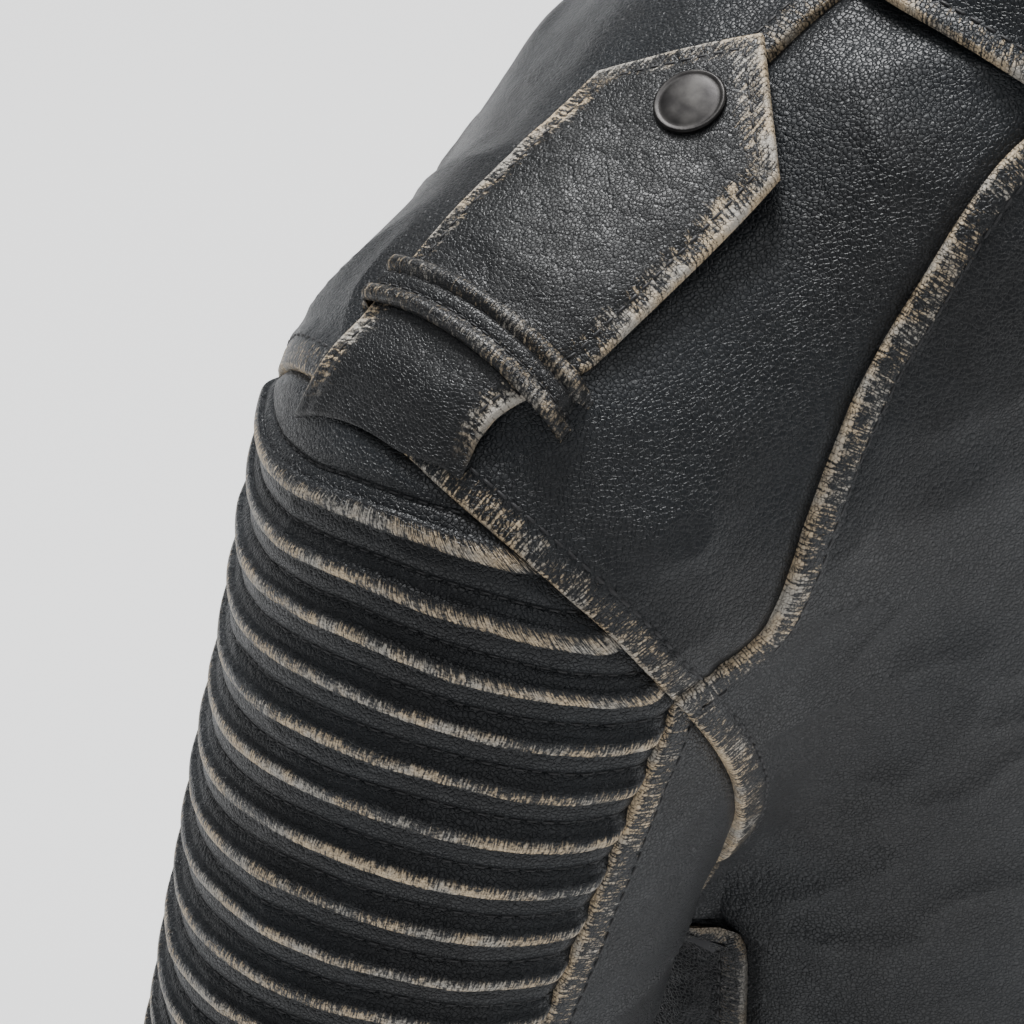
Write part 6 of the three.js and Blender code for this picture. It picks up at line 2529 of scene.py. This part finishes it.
# ---- the whole jacket ----
@dataclass
class Jacket:
    """Builds every sub-assembly and dresses it."""

    def __post_init__(self) -> None:
        """Mixes the finishes."""
        self.leather = LeatherFinish("panel_leather").material()
        self.rib_leather = LeatherFinish("rib_leather", roughness=0.42, ribbed=True).material()
        self.strap_leather = LeatherFinish(
            "strap_leather", (0.003, 0.0034, 0.004), (0.007, 0.0075, 0.0085), roughness=0.38, grain=1300.0,
            grain_depth=0.00012,
        ).material()
        self.thread = ThreadFinish().material()
        self.satin = ClothFinish("satin", (0.010, 0.010, 0.012), (0.020, 0.020, 0.024), 3000.0, 0.5, 0.00002, 0.3)
        self.lining = self.satin.material()
        self.tape = ClothFinish("zip_tape", (0.006, 0.006, 0.007), (0.020, 0.020, 0.021), 1500.0).material()
        self.gunmetal = MetalFinish("gunmetal", (0.022, 0.021, 0.021), (0.05, 0.048, 0.046), 0.42, 0.2).material()
        self.nickel = MetalFinish("nickel", (0.20, 0.20, 0.20), (0.34, 0.33, 0.32), 0.28).material()

    def panels(self) -> None:
        """Leather panels of torso and sleeves, with their stitches."""
        for panel in torso_panels() + sleeve_panels():
            finish = self.rib_leather if panel.ribs else self.leather
            for side, sign in SIDES:
                if panel.whole and sign < 0:
                    continue
                panel.thread = []
                skin = panel.skins(sign)
                name = panel.name if panel.whole else f"{panel.name}_{side}"
                piece = add_piece(f"{name}_leather", skin, finish, replaces=[name])
                if panel.name == POCKET_OPENING.panel:
                    self.open_slot(piece, POCKET_OPENING.cutter(self.pocket_frame(sign)))
                if panel.name == CUFF_OPENING.panel:
                    self.open_slot(piece, CUFF_OPENING.cutter(self.cuff_frame(sign)))
                if panel.thread:
                    add_piece(f"{name}_stitches", Skin.merged(panel.thread), self.thread)

    def open_slot(self, piece: bpy.types.Object, skin: Skin) -> None:
        """Cuts a zip's opening out of a panel.

        Args:
            piece: The panel.
            skin: The box to cut away.
        """
        mesh = bpy.data.meshes.new("slot")
        points = (skin.points + HEM_SHIFT) * METRE
        mesh.from_pydata(points.tolist(), [], [face for block in skin.faces for face in block.tolist()])
        cutter = bpy.data.objects.new("slot", mesh)
        bpy.context.scene.collection.objects.link(cutter)
        cut = piece.modifiers.new("slot", "BOOLEAN")
        cut.operation = "DIFFERENCE"
        cut.solver = "EXACT"
        cut.object = cutter
        graph = bpy.context.evaluated_depsgraph_get()
        done = bpy.data.meshes.new_from_object(piece.evaluated_get(graph), depsgraph=graph)
        piece.modifiers.remove(cut)
        old = piece.data
        piece.data = done
        bpy.data.meshes.remove(old)
        bpy.data.objects.remove(cutter)
        done.set_sharp_from_angle(angle=math.radians(60.0))

    def pocket_frame(self, sign: float) -> ZipFrame:
        """The hand pocket's zip on the front panel.

        Args:
            sign: 1 for the left, -1 for the right.

        Returns:
            The frame.
        """
        low, high = (FORM.settle(np.array([[POCKET_X, -90.0, z]]), Region.BODY, True)[0] for z in POCKET_Z)
        normal = FORM.normal(((low + high) / 2)[None], Region.BODY)[0]
        return ZipFrame.between(flipped(low, sign), flipped(high, sign), flipped(normal, sign))

    def cuff_frame(self, sign: float) -> ZipFrame:
        """The cuff's zip on the forearm panel.

        Args:
            sign: 1 for the left, -1 for the right.

        Returns:
            The frame.
        """
        low, high = SLEEVE.point(SLEEVE.end - np.array(CUFF_FROM_END), np.full(2, CUFF_ANGLE))
        normal = FORM.normal(((low + high) / 2)[None], Region.ARM)[0]
        return ZipFrame.between(flipped(low, sign), flipped(high, sign), flipped(normal, sign))

    def zips(self) -> None:
        """Front, pocket and cuff zips."""
        low, high = (np.array([0.0, FORM.front_y(z), z]) for z in (0.0, 560.0))
        front = ZipFrame.between(low, high, np.array([0.0, -1.0, FORM.lean]))
        self.one_zip(Zip("front_zip", front, 545.0, 2.6, 16.0, 14.0, 3.0, 6.0), split=True)
        for side, sign in SIDES:
            self.one_zip(Zip(f"pocket_zip_{side}", self.pocket_frame(sign), 140.0, 3.3, 11.0, 1.0, -7.0, 7.0))
            self.one_zip(Zip(f"cuff_zip_{side}", self.cuff_frame(sign), 100.0, 3.0, 9.5, 1.0, -3.0, 6.0))
            self.welt(self.pocket_frame(sign), f"pocket_welt_{side}", POCKET_OPENING)
            self.welt(self.cuff_frame(sign), f"cuff_welt_{side}", CUFF_OPENING)
        edged_copy("front_zip_retainer", 0.35, self.nickel, "jacket")

    def one_zip(self, made: Zip, split: bool = False) -> None:
        """Pieces of one zip.

        Args:
            made: Its sizes.
            split: The zip separates, so each half is its own CAD node.
        """
        groups = [(f"_{side}", [sign]) for side, sign in SIDES] if split else [("", [1.0, -1.0])]
        rows = "row" if split else "rows"
        for end, signs in groups:
            for kind, make, finish, slot, word in (
                ("tape", made.tape_skin, self.tape, "tape_cloth", "cloth"),
                ("teeth", made.teeth_skin, self.nickel, "zip_metal", rows),
            ):
                skin = Skin.merged([make(sign) for sign in signs])
                add_piece(f"{made.name}_{kind}{end}_{word}", skin, finish, replaces=[f"{made.name}_{kind}{end}"])
        stem = made.name.replace("_zip", "")
        edged_copy(f"{made.name}_slider", 0.3, self.nickel, f"{stem}_slider")
        edged_copy(f"{made.name}_pull", 0.3, self.nickel, f"{stem}_pull")

    def welt(self, place: ZipFrame, name: str, opening: Opening) -> None:
        """Turned leather edge round a zip's opening: an oval carried along its line.

        Args:
            place: The zip's frame.
            name: Piece name.
            opening: Its sizes.
        """
        path = opening.path()
        flat = place.out(np.concatenate([path, np.zeros((len(path), 1))], 1))
        region = Region.BODY if opening is POCKET_OPENING else Region.ARM
        base = FORM.settle(flat, region)
        up = FORM.normal(base, region)
        if opening.closed:
            base = base - up * (opening.sunk * smooth(5.0, -4.0, path[:, 1]))[:, None]
            before, after = np.roll(base, 1, 0), np.roll(base, -1, 0)
        else:
            before, after = np.concatenate([base[:1], base[:-1]]), np.concatenate([base[1:], base[-1:]])
        forward = unit(after - before)
        side = unit(np.cross(up, forward))
        a = np.linspace(0, 2 * math.pi, 14, endpoint=False)
        profile = np.stack([2.3 * np.cos(a), 0.1 + 1.15 * np.sin(a)], -1)
        skin = tube(base, profile, side, up, opening.closed)
        skin.values = {
            "edge_mm": np.tile(2.2 - 2.0 * np.clip(np.sin(a), 0, 1), len(base)),
            "along_mm": np.repeat(np.arange(len(base)) * 2.0, len(a)),
            "worn": np.full(len(base) * len(a), 0.8),
        }
        add_piece(name, skin, self.leather)

    def straps(self) -> None:
        """Shoulder straps, keepers and snaps."""
        made = ShoulderStrap()
        for side, sign in SIDES:
            strap, threads = made.strap(sign)
            body = f"flap_{side}"
            for name, skin, finish, nodes in (
                (f"shoulder_strap_{side}", strap, self.strap_leather, [f"strap_flap_{side}", f"strap_base_{side}"]),
                (f"shoulder_strap_{side}_stitches", threads, self.thread, []),
            ):
                piece = add_piece(name, skin, finish, None, nodes)
                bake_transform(piece)
            keeper, threads = made.keeper(sign)
            add_piece(f"strap_keeper_{side}_band", keeper, self.strap_leather,
                      replaces=[f"strap_keeper_{side}"])
            add_piece(f"strap_keeper_{side}_stitches", threads, self.thread)
            for node, skin in made.snap(sign).items():
                rides = "jacket" if node == "snap_stud" else body
                add_piece(f"{node}_{side}_turned", skin, self.gunmetal, rides, [f"{node}_{side}"], 35.0)

    def collar(self) -> None:
        """Collar stand and leaf."""
        made = Collar()
        add_piece("collar_stand_leather", made.stand(), self.leather, replaces=["collar_stand"])
        leaf, threads = made.leaf()
        add_piece("collar_leaf_leather", leaf, self.leather, replaces=["collar_leaf"])
        add_piece("collar_leaf_stitches", threads, self.thread)

    def inside(self) -> None:
        """Facings, hem, pocket bags, linings and the hanger loop."""
        made = Facings()
        for side, sign in SIDES:
            add_piece(f"front_facing_{side}_leather", made.front_facing(sign), self.leather,
                      replaces=[f"front_facing_{side}"])
            add_piece(f"pocket_bag_{side}_cloth", made.pocket_bag(sign), self.tape,
                      replaces=[f"pocket_bag_{side}"])
        add_piece("hem_facing_leather", made.hem_facing(), self.leather, replaces=["hem_facing"])
        self.lining_pieces()
        add_piece("hanger_loop_band", Hanger().band(), self.tape, replaces=["hanger_loop"])

    def lining_pieces(self) -> None:
        """Body lining and sleeve linings from the same patches as the leather."""
        per_cell = 4
        made = Linings()
        shapes = {"front_panel": (7, 11), "front_yoke": (4, 5), "side_panel": (4, 7), "back_panel": (9, 11),
                  "back_yoke": (9, 5), "sleeve_rib_panel": (8, 12), "sleeve_forearm_panel": (8, 8),
                  "under_sleeve": (12, 16)}
        grids = {
            panel.name: panel.grid(*(plain(n, per_cell) for n in shapes[panel.name]))
            for panel in torso_panels() + sleeve_panels()
        }
        body = [grids[name] for name in list(shapes)[:5]]
        arm = [grids[name] for name in list(shapes)[5:]]
        piece = add_piece("body_lining_satin", made.layer(body, Region.BODY, True, 1.0), self.lining,
                          replaces=["body_lining"])
        thicken(piece, made.thickness)
        for side, sign in SIDES:
            piece = add_piece(f"sleeve_lining_{side}_satin", made.layer(arm, Region.ARM, False, sign), self.lining,
                              replaces=[f"sleeve_lining_{side}"])
            thicken(piece, made.thickness)

    def build(self) -> None:
        """Everything, in order."""
        self.panels()
        self.straps()
        self.collar()
        self.zips()
        self.inside()


# ---- studio ----
# Each lamp's name, place, aim, side and watts.
LAMPS = (
    ("key", (0.35, 0.75, 1.5), (-0.15, 0.0, 0.0), 0.6, 60.0),
    ("front", (-1.5, -1.4, 0.7), (-0.15, 0.0, -0.1), 1.2, 5.0),
    ("side", (1.5, -1.2, 0.9), (0.0, 0.0, -0.1), 0.8, 11.0),
    ("top", (0.0, 0.2, 3.2), (0.0, 0.0, 0.0), 3.0, 52.0),
)


@dataclass
class Studio:
    """Plain floor, soft lights and the camera."""

    azimuth: float = -45.0
    elevation: float = 40.0
    distance: float = 0.8
    lens: float = 142.6
    target: tuple[float, float, float] = (-0.142, -0.0457, -0.0329)
    right_mm: float = 37.0
    up_mm: float = 76.8
    surround: float = 0.34
    floor_half: float = 6.0
    floor_lines: int = 9
    floor_gap: float = 0.002

    def floor(self) -> None:
        """A pale floor under the hem."""
        r = Recipe("floor")
        soft = r.noise(r.place(), 3.0, 3.0)
        color = r.blend(soft, (0.82, 0.82, 0.82), (0.88, 0.88, 0.88))
        material = r.finish(color, 0.85, None, Emission_Strength=0.5)
        mesh = bpy.data.meshes.new("floor")
        x, y = np.meshgrid(*[np.linspace(-self.floor_half, self.floor_half, self.floor_lines)] * 2)
        points = np.stack([x, y, np.full_like(x, CAD_BOX[0][2] - self.floor_gap)], -1).reshape(-1, 3)
        mesh.from_pydata(points.tolist(), [], grid_faces(np.arange(x.size).reshape(x.shape)).tolist())
        mesh.materials.append(material)
        floor = bpy.data.objects.new("floor", mesh)
        bpy.context.scene.collection.objects.link(floor)

    def axes(self) -> tuple[Array, Array, Array]:
        """Camera directions right, up and back.

        Returns:
            Three unit vectors.
        """
        a, e = math.radians(self.azimuth), math.radians(self.elevation)
        back = np.array([math.sin(a) * math.cos(e), -math.cos(a) * math.cos(e), math.sin(e)])
        right = unit(np.cross(np.array([0.0, 0.0, 1.0]), back))
        return right, np.cross(back, right), back

    def camera(self) -> None:
        """The camera, turned to the shoulder."""
        right, up, back = self.axes()
        eye = np.array(self.target) + back * self.distance - right * self.right_mm * METRE - up * self.up_mm * METRE
        data = bpy.data.cameras.new("camera")
        data.lens = self.lens
        data.sensor_width = 36.0
        data.clip_start = 0.02
        data.clip_end = 30.0
        made = bpy.data.objects.new("camera", data)
        bpy.context.scene.collection.objects.link(made)
        turn = Matrix([[right[k], up[k], back[k], eye[k]] for k in range(3)] + [[0.0, 0.0, 0.0, 1.0]])
        made.matrix_world = turn
        bpy.context.scene.camera = made

    def lamp(self, name: str, place: Sequence[float], aim: Sequence[float], size: float, power: float) -> None:
        """An area light aimed at a point.

        Args:
            name: Its name.
            place: Where it stands.
            aim: What it points at.
            size: Its side.
            power: Watts.
        """
        data = bpy.data.lights.new(name, "AREA")
        data.energy = power
        data.size = size
        made = bpy.data.objects.new(name, data)
        bpy.context.scene.collection.objects.link(made)
        look = Vector(aim) - Vector(place)
        made.matrix_world = Matrix.Translation(place) @ look.to_track_quat("-Z", "Y").to_matrix().to_4x4()

    def lights(self) -> None:
        """Soft light from above and behind, a weaker one from the front and an even surround."""
        for lamp in LAMPS:
            self.lamp(*lamp)
        world = bpy.data.worlds.new("surround")
        world.use_nodes = True
        background = world.node_tree.nodes["Background"].inputs
        background["Color"].default_value = (0.95, 0.97, 1.0, 1.0)
        background["Strength"].default_value = self.surround
        bpy.context.scene.world = world

    def build(self) -> None:
        """Camera, lights and floor."""
        self.camera()
        self.lights()
        self.floor()


def main() -> None:
    """Builds the studio and the jacket; each jacket piece logs its face count as it is made."""
    logging.basicConfig(level=logging.INFO, format="%(name)s %(message)s")
    Studio().build()
    Jacket().build()


if __name__ == "__main__":
    main()
